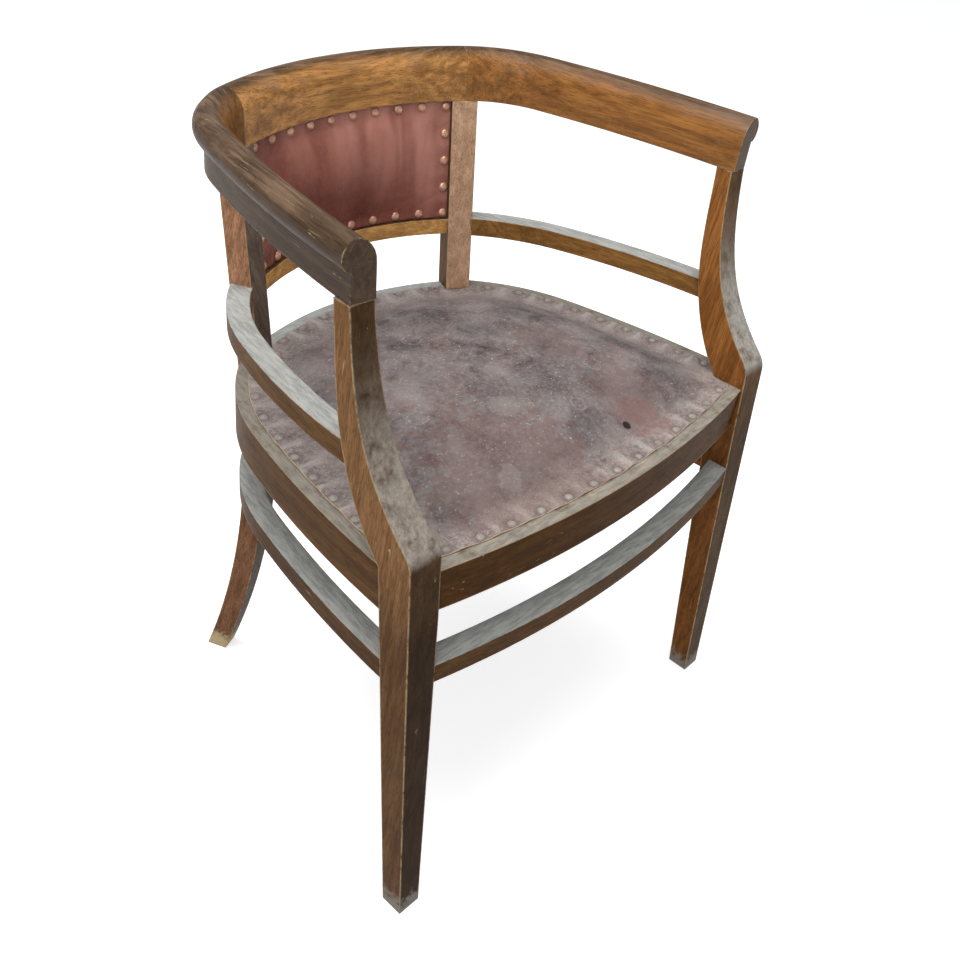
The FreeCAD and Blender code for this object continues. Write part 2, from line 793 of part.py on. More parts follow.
def nail_row(arc, begin, end):
    """Plan points that space seat nails evenly along an arc of the seat's edge."""
    length = math.radians(abs(end - begin)) * (arc.radius - seat_nail_inset)
    count = max(1, round(length / seat_nail_pitch))
    headings = [begin + (end - begin) * (index + 0.5) / count for index in range(count)]
    return [on_arc(arc, heading, seat_nail_inset) for heading in headings]


def seat_nail_seats():
    """Seat point and direction of each seat nail, clear of the legs."""
    front, side, corner, back = seat_lines()
    clear = seat_nail_radius + nail_clear
    leg_line = leg_out - leg_wide - clear
    front_turn = math.degrees(math.asin(leg_line / (front.radius - seat_nail_inset)))
    side_x = on_arc(side, side.end, seat_nail_inset).x
    side_end = heading_of(side, Vector(side_x, front_leg_back(seat_top) + clear, 0))
    outer_post = back_leg_corner(seat_top, True, False)
    corner_start = heading_of(corner, outer_post) + math.degrees(clear / corner.radius)
    inner_post = back_leg_corner(seat_top, False, False)
    back_turn = math.degrees(math.asin((inner_post.x - clear) / (back.radius - seat_nail_inset)))
    right = nail_row(side, side.begin, side_end) + nail_row(corner, corner_start, corner.end)
    points = right + [Vector(-point.x, point.y, 0) for point in right]
    points += nail_row(front, 180 - front_turn, 180 + front_turn)
    points += nail_row(back, -back_turn, back_turn)
    return [(point + upright * (seat_top + leather_thick), upright) for point in points]


def panel_arcs():
    """Front plan arcs of the back board at its lower and upper edge, from post to post."""
    low = rear_arc(lower_rail_top, lower_rail_radius, -lower_rail_setback, False)
    corner = back_leg_corner(bow_under, False, False)
    turn = heading_of(crest_arc(), corner)
    low = PlanArc(low.centre, low.radius + board_recess, low.begin, low.end)
    high = PlanArc(crest_centre, crest_radius - bow_width + board_recess, -turn, turn)
    return low, high


def panel_point(share, height, proud):
    """Point of the back panel: share runs from post to post, proud is measured to the front."""
    low, high = panel_arcs()
    rise = (height - lower_rail_top) / (bow_under - lower_rail_top)
    point = on_arc(low, low.end * share) * (1 - rise) + on_arc(high, high.end * share) * rise
    point -= out_of((low.end + high.end) / 2 * share) * proud
    return Vector(point.x, point.y, height)


def panel_axis(share, height):
    """Direction that faces forward out of the back panel."""
    low, high = panel_arcs()
    rise = (height - lower_rail_top) / (bow_under - lower_rail_top)
    low_run = run_of(low.end * share) * (low.radius * low.end)
    high_run = run_of(high.end * share) * (high.radius * high.end)
    across = low_run * (1 - rise) + high_run * rise
    lean = on_arc(high, high.end * share) - on_arc(low, low.end * share)
    return across.cross(lean + upright * (bow_under - lower_rail_top)).normalize()


def panel_half():
    """Half of the width of the back panel along its middle."""
    low, high = panel_arcs()
    return math.radians(low.end + high.end) / 2 * (low.radius + high.radius) / 2


def pad_shares():
    """Stations across the padding of the back, between the flat side borders."""
    reach = 1 - back_border / panel_half()
    return [reach * (2 * index / (back_stations - 1) - 1) for index in range(back_stations)]


def panel_shares():
    """Stations across the whole back panel, a little past the post faces that trim it."""
    past = 1 + panel_lap / panel_half()
    edge = (pad_shares()[-1] + past) / 2
    return [-past, -edge] + pad_shares() + [edge, past]


def swell_at(share):
    """Height of the padding at a station: full across the middle, smooth out to the borders."""
    out = min(1.0, abs(share / pad_shares()[-1]))
    return back_bulge * (1 - out ** back_fullness) ** back_ease + back_rim_swell


def panel_slab(front_proud, thick):
    """Curved slab across the back between the posts."""
    wires = []
    for share in panel_shares():
        corners = [panel_point(share, lower_rail_top, front_proud)]
        corners.append(panel_point(share, bow_under, front_proud))
        corners.append(panel_point(share, bow_under, front_proud - thick))
        corners.append(panel_point(share, lower_rail_top, front_proud - thick))
        wires.append(Part.makePolygon(corners + corners[:1]))
    return Part.makeLoft(wires, True, True)


def cover_row(share, proud):
    """Upright row of points on one face of the back leather, out over the padding at mid height."""
    foot = lower_rail_top + back_border
    head = bow_under - back_border
    row = [panel_point(share, height, proud) for height in (lower_rail_top, foot, head, bow_under)]
    row.insert(2, panel_point(share, (foot + head) / 2, proud + swell_at(share)))
    return row


def back_cover():
    """Back leather: a flat nailed border that swells over the padding."""
    rings = []
    for share in panel_shares():
        front = cover_row(share, soft_gap + back_leather_thick)
        rear = cover_row(share, soft_gap)
        up = front[:1] + arc_points(*front[1:4], pad_facet_count) + front[4:]
        down = rear[4:] + arc_points(*rear[3:0:-1], pad_facet_count) + rear[:1]
        rings.append(up + down)
    return stacked(rings)


def back_pad():
    """Hair pad under the back leather."""
    low = lower_rail_top + back_border + pad_inset
    high = bow_under - back_border - pad_inset
    rings = []
    for share in pad_shares()[1:-1]:
        foot = panel_point(share, low, pad_slack)
        head = panel_point(share, high, pad_slack)
        front = panel_point(share, (low + high) / 2, swell_at(share) - pad_slack)
        rings.append(arc_points(foot, front, head, pad_facet_count))
    return stacked(rings)


def back_nail_places(across, rows, margin):
    """Share and height of each nail round one face of the back panel."""
    low = lower_rail_top + back_nail_margin
    high = bow_under - back_nail_margin
    edge = 1 - margin / panel_half()
    places = []
    for index in range(across):
        share = edge * (2 * index / (across - 1) - 1)
        places += [(share, low), (share, high)]
    for index in range(1, rows):
        height = low + (high - low) * index / rows
        places += [(-edge, height), (edge, height)]
    return places


def strip_point(share, height, proud):
    """Point on the flat strips of the back panel, between the two stations beside a share."""
    shares = panel_shares()
    far = next(index for index, station in enumerate(shares) if station >= share)
    part = (share - shares[far - 1]) / (shares[far] - shares[far - 1])
    near_point = panel_point(shares[far - 1], height, proud)
    return near_point * (1 - part) + panel_point(shares[far], height, proud) * part


def nail_seat(share, height, proud, axis):
    """Seat point and direction of a back nail whose rim just rests on the strips below it."""
    middle = strip_point(share, height, proud)
    reach = back_nail_radius / panel_half()
    around = [strip_point(share + reach * side, height, proud) for side in (-1, -0.5, 0.5, 1)]
    lift = max([0.0] + [(point - middle).dot(axis) for point in around])
    return middle + axis * lift, axis


def front_nail_seats():
    """Seat point and direction of each nail of the front cover of the back."""
    places = back_nail_places(back_nail_count_across, back_nail_count_up, back_nail_margin)
    proud = soft_gap + back_leather_thick + back_rim_swell
    return [nail_seat(share, height, proud, panel_axis(share, height)) for share, height in places]


def outer_nail_seats():
    """Seat point and direction of each nail of the rear cover of the back."""
    margin = back_nail_margin + board_thick * math.sin(math.radians(joint_turn))
    places = back_nail_places(outer_nail_count_across, outer_nail_count_up, margin)
    behind = -board_thick - soft_gap - back_leather_thick
    return [nail_seat(share, height, behind, panel_axis(share, height) * -1) for share, height in places]


def brace_plan(reach_one, reach_two, at, heading_one, heading_two):
    """Plan triangle of a corner brace, with two arms that run from a corner along the rails."""
    first = at + run_of(heading_one) * reach_one
    second = at + run_of(heading_two) * reach_two
    return [at, first, second]


def braces(rails, legs):
    """Right-hand corner braces, front first, trimmed to the rails and legs."""
    under = seat_top - rebate_long - brace_drop - brace_height
    front_y = front_leg_face(seat_top) + front_rail_setback + seat_rail_thick / 2
    front_corner = Vector(leg_out - side_setback - seat_rail_thick / 2, front_y, under)
    spread = seat_rail_thick / 2 + leg_wide / 2
    front = brace_plan(brace_front_reach + spread, brace_side_reach + spread, front_corner, 180, -90)
    rear_corner = back_leg_corner(seat_top, False, False) + out_of(joint_turn) * (seat_rail_thick / 2)
    reach = brace_rear_reach + seat_rail_thick
    rear = brace_plan(reach, reach, rear_corner + upright * under,
                      180 - joint_turn / 2, rear_heading + joint_turn)
    return [cut_all(polygon(plan).extrude(upright * brace_height), rails + legs) for plan in (front, rear)]


def screw_line(index, height):
    """Place and heading of the screw into the front leg or the rear leg, through the leg's middle."""
    if index == 0:
        middle_x = (leg_out + front_leg_inside(height)) / 2
        middle_y = front_leg_back(height) - (middle_x - front_leg_inside(height))
        return Vector(middle_x, middle_y, height), front_screw_heading
    corners = [back_leg_corner(height, outer, rear) for outer in (True, False) for rear in (True, False)]
    middle = (corners[0] + corners[1] + corners[2] + corners[3]) / 4
    return Vector(middle.x, middle.y, height), joint_turn - 90


def brace_screw(block, index):
    """Screw through a brace into its leg, and the hole that takes it."""
    place, heading = screw_line(index, block.CenterOfMass.z)
    along = run_of(heading)
    inside = block.common(line(place - along * beyond, place + along * beyond))
    reaches = sorted((vertex.Point - place).dot(along) for vertex in inside.Vertexes)
    start = place + along * reaches[0]
    length = reaches[-1] - reaches[0] + screw_into_leg
    shank = pin(start, along, length, screw_radius)
    head = pin(start, along, screw_head_height, screw_head_radius)
    hole = pin(start, along, length + tenon_end_gap, screw_radius + glue_gap)
    sink = pin(start, along, screw_head_height + glue_gap, screw_head_radius + glue_gap)
    return one_solid(shank.fuse(head)), hole.fuse(sink)


def pair_nodes(name, shape):
    """Right and left nodes of a mirrored piece."""
    return {name + "_right": shape, name + "_left": mirrored(shape)}


def cut_all(shape, tools):
    """Shape less every tool."""
    return one_solid(shape.cut(Part.makeCompound(tools)))


def both_sides(shapes):
    """Right-hand shapes and their left-hand copies."""
    return shapes + [mirrored(shape) for shape in shapes]


def side_rails(legs):
    """Right-hand rails between the rear and the front leg, each with both its mortises."""
    front, side, corner, back = seat_lines()
    low = seat_side_arcs(stretcher_middle, rail_setback)
    return {
        "seat_rail": side_rail([corner, side], seat_rail_thick, seat_under, seat_rail_height, legs),
        "stretcher": side_rail(low, stretcher_thick, stretcher_under, stretcher_height, legs),
        "mid_rail": side_rail(mid_rail_arcs(), mid_rail_thick, mid_rail_under, mid_rail_height, legs,
                              mid_rail_slope),
    }


def front_rails(leg):
    """Rails between the front legs, each with the mortise of the right leg."""
    seat = seat_lines()[0]
    low = front_arc(stretcher_middle, stretcher_setback)
    return {
        "seat": cross_rail(seat, seat_rail_thick, seat_under, seat_rail_height, leg, tenon_long),
        "stretcher": cross_rail(low, stretcher_thick, stretcher_under, stretcher_height, leg, tenon_long),
    }


def back_rails(leg):
    """Rails between the rear legs, each with the mortise of the right leg."""
    seat = seat_lines()[3]
    low = rear_arc(stretcher_middle, back_rail_radius, stretcher_setback)
    face = rear_arc(lower_rail_top, lower_rail_radius, -lower_rail_setback, False)
    panel = PlanArc(face.centre, face.radius + lower_rail_thick, face.begin, face.end)
    return {
        "seat": cross_rail(seat, seat_rail_thick, seat_under, seat_rail_height, leg, tenon_short),
        "stretcher": cross_rail(low, stretcher_thick, stretcher_under, stretcher_height, leg, tenon_short),
        "panel": cross_rail(panel, lower_rail_thick, lower_rail_under, lower_rail_height, leg, tenon_short),
    }


def seat_frame(front, side, back):
    """Front, right and back seat rails with their rebates, trimmed where they meet."""
    front_line, side_line, corner_line, back_line = seat_lines()
    front = cut_all(front, [rebate([front_line], seat_rail_thick, rebate_long)])
    back = cut_all(back, [rebate([back_line], seat_rail_thick, rebate_long)])
    side = cut_all(side, [rebate([corner_line, side_line], seat_rail_thick, rebate_cross), back])
    return cut_all(front, both_sides([side])), side, back


def screwed_braces(rails, legs):
    """Right-hand corner braces, their screws and the screw holes, front first."""
    blocks = []
    screws = []
    holes = []
    for index, block in enumerate(braces(rails, legs)):
        screw, hole = brace_screw(block, index)
        blocks.append(cut_all(block, [hole]))
        screws.append(screw)
        holes.append(hole)
    return blocks, screws, holes


def finished_leg(leg, cuts, tenon):
    """Leg with its mortises, and with the tenon on top of its post."""
    return one_solid(cut_all(leg, cuts).fuse(tenon))


def bow_nodes():
    """Crest, arms and dowels."""
    holes = bow_dowels(glue_gap, tenon_end_gap) + [back_post_tenon(glue_gap)]
    near, far = arm_arcs()
    arm = one_solid(bow_piece(near).fuse(bow_piece(far)))
    nodes = pair_nodes("arm", cut_all(arm, holes + [front_post_tenon(glue_gap)]))
    nodes["crest_rail"] = cut_all(bow_piece(crest_arc()), both_sides(holes))
    nodes["bow_dowels"] = Part.makeCompound(both_sides(bow_dowels()))
    return nodes


def frame_nodes(front, back):
    """Legs, rails, corner braces and their screws."""
    sides = side_rails((front, back))
    fronts = front_rails(front)
    backs = back_rails(back)
    rails = seat_frame(fronts["seat"].rail, sides["seat_rail"].rail, backs["seat"].rail)
    blocks, screws, screw_holes = screwed_braces(list(rails), [front, back])
    front_cuts = [fit.mortises[-1] for fit in [*sides.values(), *fronts.values()]]
    back_cuts = [fit.mortises[0] for fit in [*sides.values(), *backs.values()]]
    front_cuts.append(screw_holes[0])
    back_cuts.append(screw_holes[1])
    seat_front, seat_side, seat_back = [cut_all(rail, both_sides(screw_holes)) for rail in rails]
    nodes = pair_nodes("front_leg", finished_leg(front, front_cuts, front_post_tenon()))
    nodes.update(pair_nodes("back_leg", finished_leg(back, back_cuts, back_post_tenon())))
    nodes.update(pair_nodes("seat_rail", seat_side))
    nodes.update(pair_nodes("stretcher", sides["stretcher"].rail))
    nodes.update(pair_nodes("mid_rail", sides["mid_rail"].rail))
    nodes["seat_rail_front"] = seat_front
    nodes["seat_rail_back"] = seat_back
    nodes["stretcher_front"] = fronts["stretcher"].rail
    nodes["stretcher_back"] = backs["stretcher"].rail
    nodes["back_lower_rail"] = backs["panel"].rail
    nodes["corner_blocks"] = Part.makeCompound(both_sides(blocks))
    nodes["block_screws"] = Part.makeCompound(both_sides(screws))
    return nodes


def seat_nodes(legs):
    """Straps, cloth, stuffing, leather and nails of the seat."""
    return {
        "webbing_long": Part.makeCompound(straps(False, legs)),
        "webbing_cross": Part.makeCompound(straps(True, legs)),
        "seat_hessian": cut_all(seat_floor(seat_top - hessian_thick, hessian_thick), legs),
        "seat_stuffing": seat_stuffing(),
        "seat_leather": seat_leather(),
        "seat_nails": nails(seat_nail_seats(), seat_nail_radius, seat_nail_dome),
    }


def back_nodes(posts):
    """Board, stuffing, covers and nails of the back panel."""
    return {
        "back_board": cut_all(panel_slab(0, board_thick), posts),
        "back_stuffing": back_pad(),
        "back_leather": cut_all(back_cover(), posts),
        "back_nails": nails(front_nail_seats(), back_nail_radius, back_nail_dome),
        "back_outer_leather": cut_all(panel_slab(-board_thick - soft_gap, back_leather_thick), posts),
        "back_outer_nails": nails(outer_nail_seats(), back_nail_radius, back_nail_dome),
    }


def build():
    """All nodes of the chair by name."""
    front = front_leg()
    back = back_leg()
    nodes = bow_nodes()
    nodes.update(frame_nodes(front, back))
    nodes.update(seat_nodes(both_sides([front, back])))
    nodes.update(back_nodes(both_sides([back])))
    return nodes


os.makedirs("parts", exist_ok=True)
for node_name, node_shape in build().items():
    node_shape.exportStep("parts/" + node_name + ".step")
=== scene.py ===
"""Tub chair in dark stained oak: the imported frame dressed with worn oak, dusty leather and dome nails.

All sizes are in metres.
"""

import logging
import math
import random
from dataclasses import dataclass, field, replace
from enum import Enum
from functools import cache
from typing import Callable, Iterable, Optional, Sequence

import bmesh
import bpy
from mathutils import Matrix, Vector
from mathutils.bvhtree import BVHTree


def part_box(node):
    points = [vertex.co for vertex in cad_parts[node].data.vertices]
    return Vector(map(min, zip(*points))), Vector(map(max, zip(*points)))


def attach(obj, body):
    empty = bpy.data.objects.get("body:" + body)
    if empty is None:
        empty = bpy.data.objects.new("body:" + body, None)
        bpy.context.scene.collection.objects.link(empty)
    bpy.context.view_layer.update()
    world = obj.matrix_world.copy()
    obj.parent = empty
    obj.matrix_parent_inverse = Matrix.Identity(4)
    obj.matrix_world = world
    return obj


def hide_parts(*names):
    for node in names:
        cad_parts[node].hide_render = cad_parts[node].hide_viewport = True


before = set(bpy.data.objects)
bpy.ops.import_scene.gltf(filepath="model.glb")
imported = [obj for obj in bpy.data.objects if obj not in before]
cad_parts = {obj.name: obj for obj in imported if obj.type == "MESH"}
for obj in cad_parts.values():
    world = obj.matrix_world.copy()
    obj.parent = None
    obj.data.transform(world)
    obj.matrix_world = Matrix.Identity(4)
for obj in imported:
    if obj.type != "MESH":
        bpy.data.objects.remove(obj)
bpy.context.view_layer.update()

log = logging.getLogger("tub_chair")
Color = tuple[float, float, float, float]
Triple = tuple[float, float, float]
Ray = tuple[Vector, Vector]
Face = tuple[int, ...]
Shell = tuple[list[Vector], list[Face]]
Socket = bpy.types.NodeSocket
Node = bpy.types.Node
Tree = bpy.types.NodeTree
Material = bpy.types.Material
Piece = bpy.types.Object

SOCKET_KINDS = {"VALUE": "NodeSocketFloat", "VECTOR": "NodeSocketVector", "RGBA": "NodeSocketColor"}
MERGE_DISTANCE = 1e-6
SIDE_STEPS = 50
EDGE_HALVINGS = 18
SETTLE_FRAMES = 20
CLOTH = {"quality": 6, "mass": 0.4, "tension_stiffness": 12.0, "compression_stiffness": 12.0,
         "shear_stiffness": 6.0, "bending_stiffness": 1.2}


def tone(red: int, green: int, blue: int) -> Color:
    """Scene colour of a colour as it shows on a screen.

    Args:
        red: red, from 0 to 255.
        green: green.
        blue: blue.

    Returns:
        The four channels of the colour.
    """
    def linear(value: float) -> float:
        """One channel without the screen curve."""
        share = value / 255.0
        return share / 12.92 if share <= 0.04045 else ((share + 0.055) / 1.055) ** 2.4
    return (linear(red), linear(green), linear(blue), 1.0)


def smooth_step(value: float) -> float:
    """Smooth change from 0 to 1 as a value runs from 0 to 1."""
    value = min(1.0, max(0.0, value))
    return value * value * (3 - 2 * value)


class Effect(Enum):
    """Shared surface effects, each one node group: its name and the inputs it takes."""

    GRAIN = ("oak_grain", {"Vector": "Vector", "Pale": "Color", "Deep": "Color"})
    WEAR = ("edge_wear", {"Width": "Float", "Amount": "Float"})
    DUST = ("settled_dust", {"Amount": "Float", "Scale": "Float", "Slope": "Float"})
    SCRATCHES = ("scratches", {"Vector": "Vector", "Amount": "Float"})
    FACING = ("facing_side", {"Direction": "Vector"})
    SPOT = ("soft_spot", {"Centre": "Vector", "Radius": "Float", "Ragged": "Float"})
    HIDE = ("leather_hide", {"Pale": "Color", "Deep": "Color"})
    WEAVE = ("plain_weave", {"Pale": "Color", "Deep": "Color", "Threads": "Float"})


class Graph:
    """Short-hand for filling one shader node tree."""

    def __init__(self, tree: Tree) -> None:
        """Keep the tree that the calls add to."""
        self.tree = tree

    def add(self, kind: str, **settings: object) -> Node:
        """Add a node.

        Args:
            kind: Blender's name of the node type.
            settings: properties of the node to set.

        Returns:
            The new node.
        """
        node = self.tree.nodes.new(kind)
        for name, value in settings.items():
            setattr(node, name, value)
        return node

    def feed(self, target: Socket, value: object) -> None:
        """Link a socket to an input, or set the input to a plain value.

        Args:
            target: the input.
            value: socket or plain value.
        """
        if isinstance(value, Socket):
            self.tree.links.new(value, target)
        else:
            target.default_value = value

    def fill(self, node: Node, values: dict[str, object]) -> None:
        """Feed named inputs of a node."""
        for name, value in values.items():
            self.feed(node.inputs[name], value)

    def math(self, operation: str, first: object, second: object = 0.0, third: object = 0.0,
             clamp: bool = False) -> Socket:
        """Result of a sum on values or sockets.

        Args:
            operation: Blender's name of the sum.
            first: value or socket.
            second: the same.
            third: the same.
            clamp: whether it is kept from 0 to 1.

        Returns:
            The result.
        """
        node = self.add("ShaderNodeMath", operation=operation, use_clamp=clamp)
        for target, value in zip(node.inputs, (first, second, third)):
            self.feed(target, value)
        return node.outputs[0]

    def times(self, first: object, second: object, clamp: bool = False) -> Socket:
        """Product of two values or sockets."""
        return self.math("MULTIPLY", first, second, clamp=clamp)

    def plus(self, first: object, second: object, clamp: bool = False) -> Socket:
        """Sum of two values or sockets."""
        return self.math("ADD", first, second, clamp=clamp)

    def minus(self, first: object, second: object, clamp: bool = False) -> Socket:
        """Difference of two values or sockets."""
        return self.math("SUBTRACT", first, second, clamp=clamp)

    def vector(self, operation: str, first: object, second: object = (0.0, 0.0, 0.0)) -> Node:
        """Vector node with two inputs filled.

        Args:
            operation: Blender's name of the sum.
            first: vector or socket.
            second: the same.

        Returns:
            The node.
        """
        node = self.add("ShaderNodeVectorMath", operation=operation)
        self.feed(node.inputs[0], first)
        self.feed(node.inputs[1], second)
        return node

    def mix(self, share: object, under: object, over: object, blend: str = "MIX") -> Socket:
        """Colour between two colours by a share.

        Args:
            share: share of the second colour.
            under: first colour.
            over: second colour.
            blend: Blender's name of the blend.

        Returns:
            The colour.
        """
        node = self.add("ShaderNodeMix", data_type="RGBA", blend_type=blend, clamp_factor=True)
        self.feed(node.inputs[0], share)
        self.feed(node.inputs[6], under)
        self.feed(node.inputs[7], over)
        return node.outputs[2]

    def between(self, value: Socket, low: float, high: float, start: float = 0.0,
                end: float = 1.0) -> Socket:
        """Value spread smoothly from one range over another.

        Args:
            value: the value.
            low: start of its range.
            high: end of its range.
            start: result at the start.
            end: result at the end.

        Returns:
            The result.
        """
        node = self.add("ShaderNodeMapRange", interpolation_type="SMOOTHSTEP")
        for target, number in zip(node.inputs, (value, low, high, start, end)):
            self.feed(target, number)
        return node.outputs[0]

    def noise(self, vector: Socket, scale: float, detail: float = 3.0, rough: float = 0.55,
              twist: float = 0.0) -> Socket:
        """Noise value at a vector.

        Args:
            vector: where.
            scale: how fine.
            detail: layers of finer noise.
            rough: strength of those layers.
            twist: how far it is twisted.

        Returns:
            The value.
        """
        node = self.add("ShaderNodeTexNoise")
        self.fill(node, {"Vector": vector, "Scale": scale, "Detail": detail, "Roughness": rough,
                         "Distortion": twist})
        return node.outputs[0]

    def stretch(self, vector: Socket, scale: Sequence[float]) -> Socket:
        """Vector with each axis scaled."""
        return self.vector("MULTIPLY", vector, tuple(scale)).outputs[0]

    def scaled(self, vector: Socket, factor: object) -> Socket:
        """Vector times one number.

        Args:
            vector: the vector.
            factor: the number.

        Returns:
            The product.
        """
        node = self.vector("SCALE", vector)
        self.feed(node.inputs["Scale"], factor)
        return node.outputs[0]

    def moved(self, vector: Socket, by: Socket) -> Socket:
        """Sum of two vectors."""
        return self.vector("ADD", vector, by).outputs[0]

    def dot(self, first: object, second: object) -> Socket:
        """How far two directions agree."""
        return self.vector("DOT_PRODUCT", first, second).outputs["Value"]

    def axes(self, vector: Socket) -> list[Socket]:
        """X, Y and Z of a vector.

        Args:
            vector: the vector.

        Returns:
            The three numbers.
        """
        node = self.add("ShaderNodeSeparateXYZ")
        self.feed(node.inputs[0], vector)
        return list(node.outputs)

    def place(self) -> Socket:
        """Place on the object in metres."""
        return self.add("ShaderNodeTexCoord").outputs["Object"]

    def normal(self) -> Socket:
        """Direction that the surface faces."""
        return self.add("ShaderNodeNewGeometry").outputs["Normal"]

    def group(self, effect: Effect, **values: object) -> Node:
        """Shared effect with its named inputs filled.

        Args:
            effect: which effect.
            values: value or socket by input.

        Returns:
            The node.
        """
        node = self.add("ShaderNodeGroup", node_tree=effect_tree(effect))
        self.fill(node, {name.capitalize(): value for name, value in values.items()})
        return node


class EffectGroup(Graph):
    """Node group of one shared effect while it is being filled."""

    def __init__(self, effect: Effect) -> None:
        """Open the group with its inputs.

        Args:
            effect: which effect it is.
        """
        name, inputs = effect.value
        super().__init__(bpy.data.node_groups.new(name, "ShaderNodeTree"))
        for given, kind in inputs.items():
            self.tree.interface.new_socket(given, in_out="INPUT", socket_type="NodeSocket" + kind)
        self.given = self.add("NodeGroupInput").outputs

    def close(self, results: dict[str, Socket]) -> Tree:
        """Give the group its outputs.

        Args:
            results: socket to put out, by name.

        Returns:
            The finished group.
        """
        for name, socket in results.items():
            self.tree.interface.new_socket(name, in_out="OUTPUT", socket_type=SOCKET_KINDS[socket.type])
        self.fill(self.add("NodeGroupOutput"), results)
        return self.tree

    def grain(self) -> dict[str, Socket]:
        """Oak along the first axis of a vector: growth bands, pores and short rays.

        Returns:
            Colour and height.
        """
        place = self.given["Vector"]
        drift = self.noise(self.stretch(place, (3.0, 14.0, 14.0)), 1.0, 2.0)
        bent = self.moved(self.stretch(place, (6.0, 150.0, 105.0)), self.scaled(drift, 3.5))
        bands = self.noise(bent, 1.0, 2.5, 0.6, 0.4)
        pores = self.noise(self.stretch(place, (42.0, 820.0, 820.0)), 1.0, 2.0, 0.6)
        pore_mask = self.between(pores, 0.52, 0.64)
        waved = self.moved(self.stretch(place, (9.0, 260.0, 260.0)), self.scaled(drift, 9.0))
        figure = self.between(self.noise(waved, 1.0, 1.0, 0.5), 0.5, 0.66)
        rays = self.noise(self.stretch(place, (110.0, 420.0, 95.0)), 1.0, 1.0, 0.5, 0.8)
        ray_mask = self.times(self.between(rays, 0.6, 0.72), 0.28)
        blotch = self.noise(place, 9.0, 3.0, 0.6)
        share = self.plus(self.times(bands, 0.85), self.times(blotch, 0.35))
        body = self.mix(self.between(share, 0.38, 0.82), self.given["Pale"], self.given["Deep"])
        body = self.mix(ray_mask, body, self.given["Pale"])
        body = self.mix(self.times(figure, 0.45), body, self.given["Deep"])
        dark = self.mix(1.0, self.given["Deep"], (0.42, 0.4, 0.4, 1.0), "MULTIPLY")
        body = self.mix(self.times(pore_mask, 0.45), body, dark)
        return {"Color": body, "Height": self.minus(self.times(bands, 0.5), pore_mask)}

    def wear(self) -> dict[str, Socket]:
        """Mask along edges, broken up by noise, and the normal of the softened edge.

        Returns:
            Mask and normal.
        """
        bevel = self.add("ShaderNodeBevel", samples=6)
        self.feed(bevel.inputs["Radius"], self.given["Width"])
        turned = self.dot(bevel.outputs[0], self.normal())
        edge = self.between(turned, 0.995, 0.86)
        place = self.place()
        breaks = self.plus(self.times(self.noise(place, 38.0, 4.0, 0.7), 0.65),
                            self.times(self.noise(place, 260.0, 2.0, 0.6), 0.35))
        chips = self.between(self.plus(breaks, self.times(self.given["Amount"], 0.4)), 0.56, 0.78)
        return {"Mask": self.times(edge, chips, clamp=True), "Normal": bevel.outputs[0]}

    def dust(self) -> dict[str, Socket]:
        """Mask of what has settled on faces that look up.

        Returns:
            Mask.
        """
        up = self.axes(self.normal())[2]
        level = self.between(self.minus(up, self.given["Slope"]), 0.0, 0.5)
        cloud = self.noise(self.scaled(self.place(), self.given["Scale"]), 1.0, 6.0, 0.68)
        patch = self.between(self.plus(cloud, self.times(self.given["Amount"], 0.45)), 0.48, 0.86)
        return {"Mask": self.times(level, patch, clamp=True)}

    def scratches(self) -> dict[str, Socket]:
        """Mask of thin broken scratches that run mostly along the first axis of a vector.

        Returns:
            Mask.
        """
        place = self.given["Vector"]
        lines = self.noise(self.stretch(place, (3.0, 150.0, 150.0)), 1.0, 0.0, 0.4)
        thin = self.between(self.math("ABSOLUTE", self.minus(lines, 0.5)), 0.007, 0.001)
        where = self.noise(self.stretch(place, (26.0, 70.0, 70.0)), 1.0, 3.0, 0.65)
        patch = self.between(self.plus(where, self.times(self.given["Amount"], 0.24)), 0.68, 0.76)
        return {"Mask": self.times(thin, patch, clamp=True)}

    def facing(self) -> dict[str, Socket]:
        """Mask of faces that look towards the middle of the chair, and of faces along a direction.

        Returns:
            Both masks.
        """
        normal = self.normal()
        to_middle = self.vector("SUBTRACT", (0.0, -0.03, 0.0), self.place()).outputs[0]
        aim = self.vector("NORMALIZE", self.stretch(to_middle, (1.0, 1.0, 0.0))).outputs[0]
        inward = self.dot(normal, aim)
        along = self.dot(normal, self.given["Direction"])
        return {"Inward": self.between(inward, 0.4, 0.92), "Along": self.between(along, 0.35, 0.8)}

    def spot(self) -> dict[str, Socket]:
        """Soft round patch about a place in plan, with an edge ring, both uneven.

        Returns:
            Masks of the patch and the ring.
        """
        place = self.place()
        level = self.stretch(place, (1.0, 1.0, 0.0))
        away = self.vector("DISTANCE", level, self.given["Centre"]).outputs["Value"]
        uneven = self.minus(self.noise(place, 60.0, 4.0, 0.65), 0.5)
        share = self.math("DIVIDE", away, self.given["Radius"])
        share = self.plus(share, self.times(uneven, self.given["Ragged"]))
        ring = self.math("ABSOLUTE", self.minus(share, 0.95))
        return {"Mask": self.between(share, 1.0, 0.7), "Ring": self.between(ring, 0.09, 0.02)}

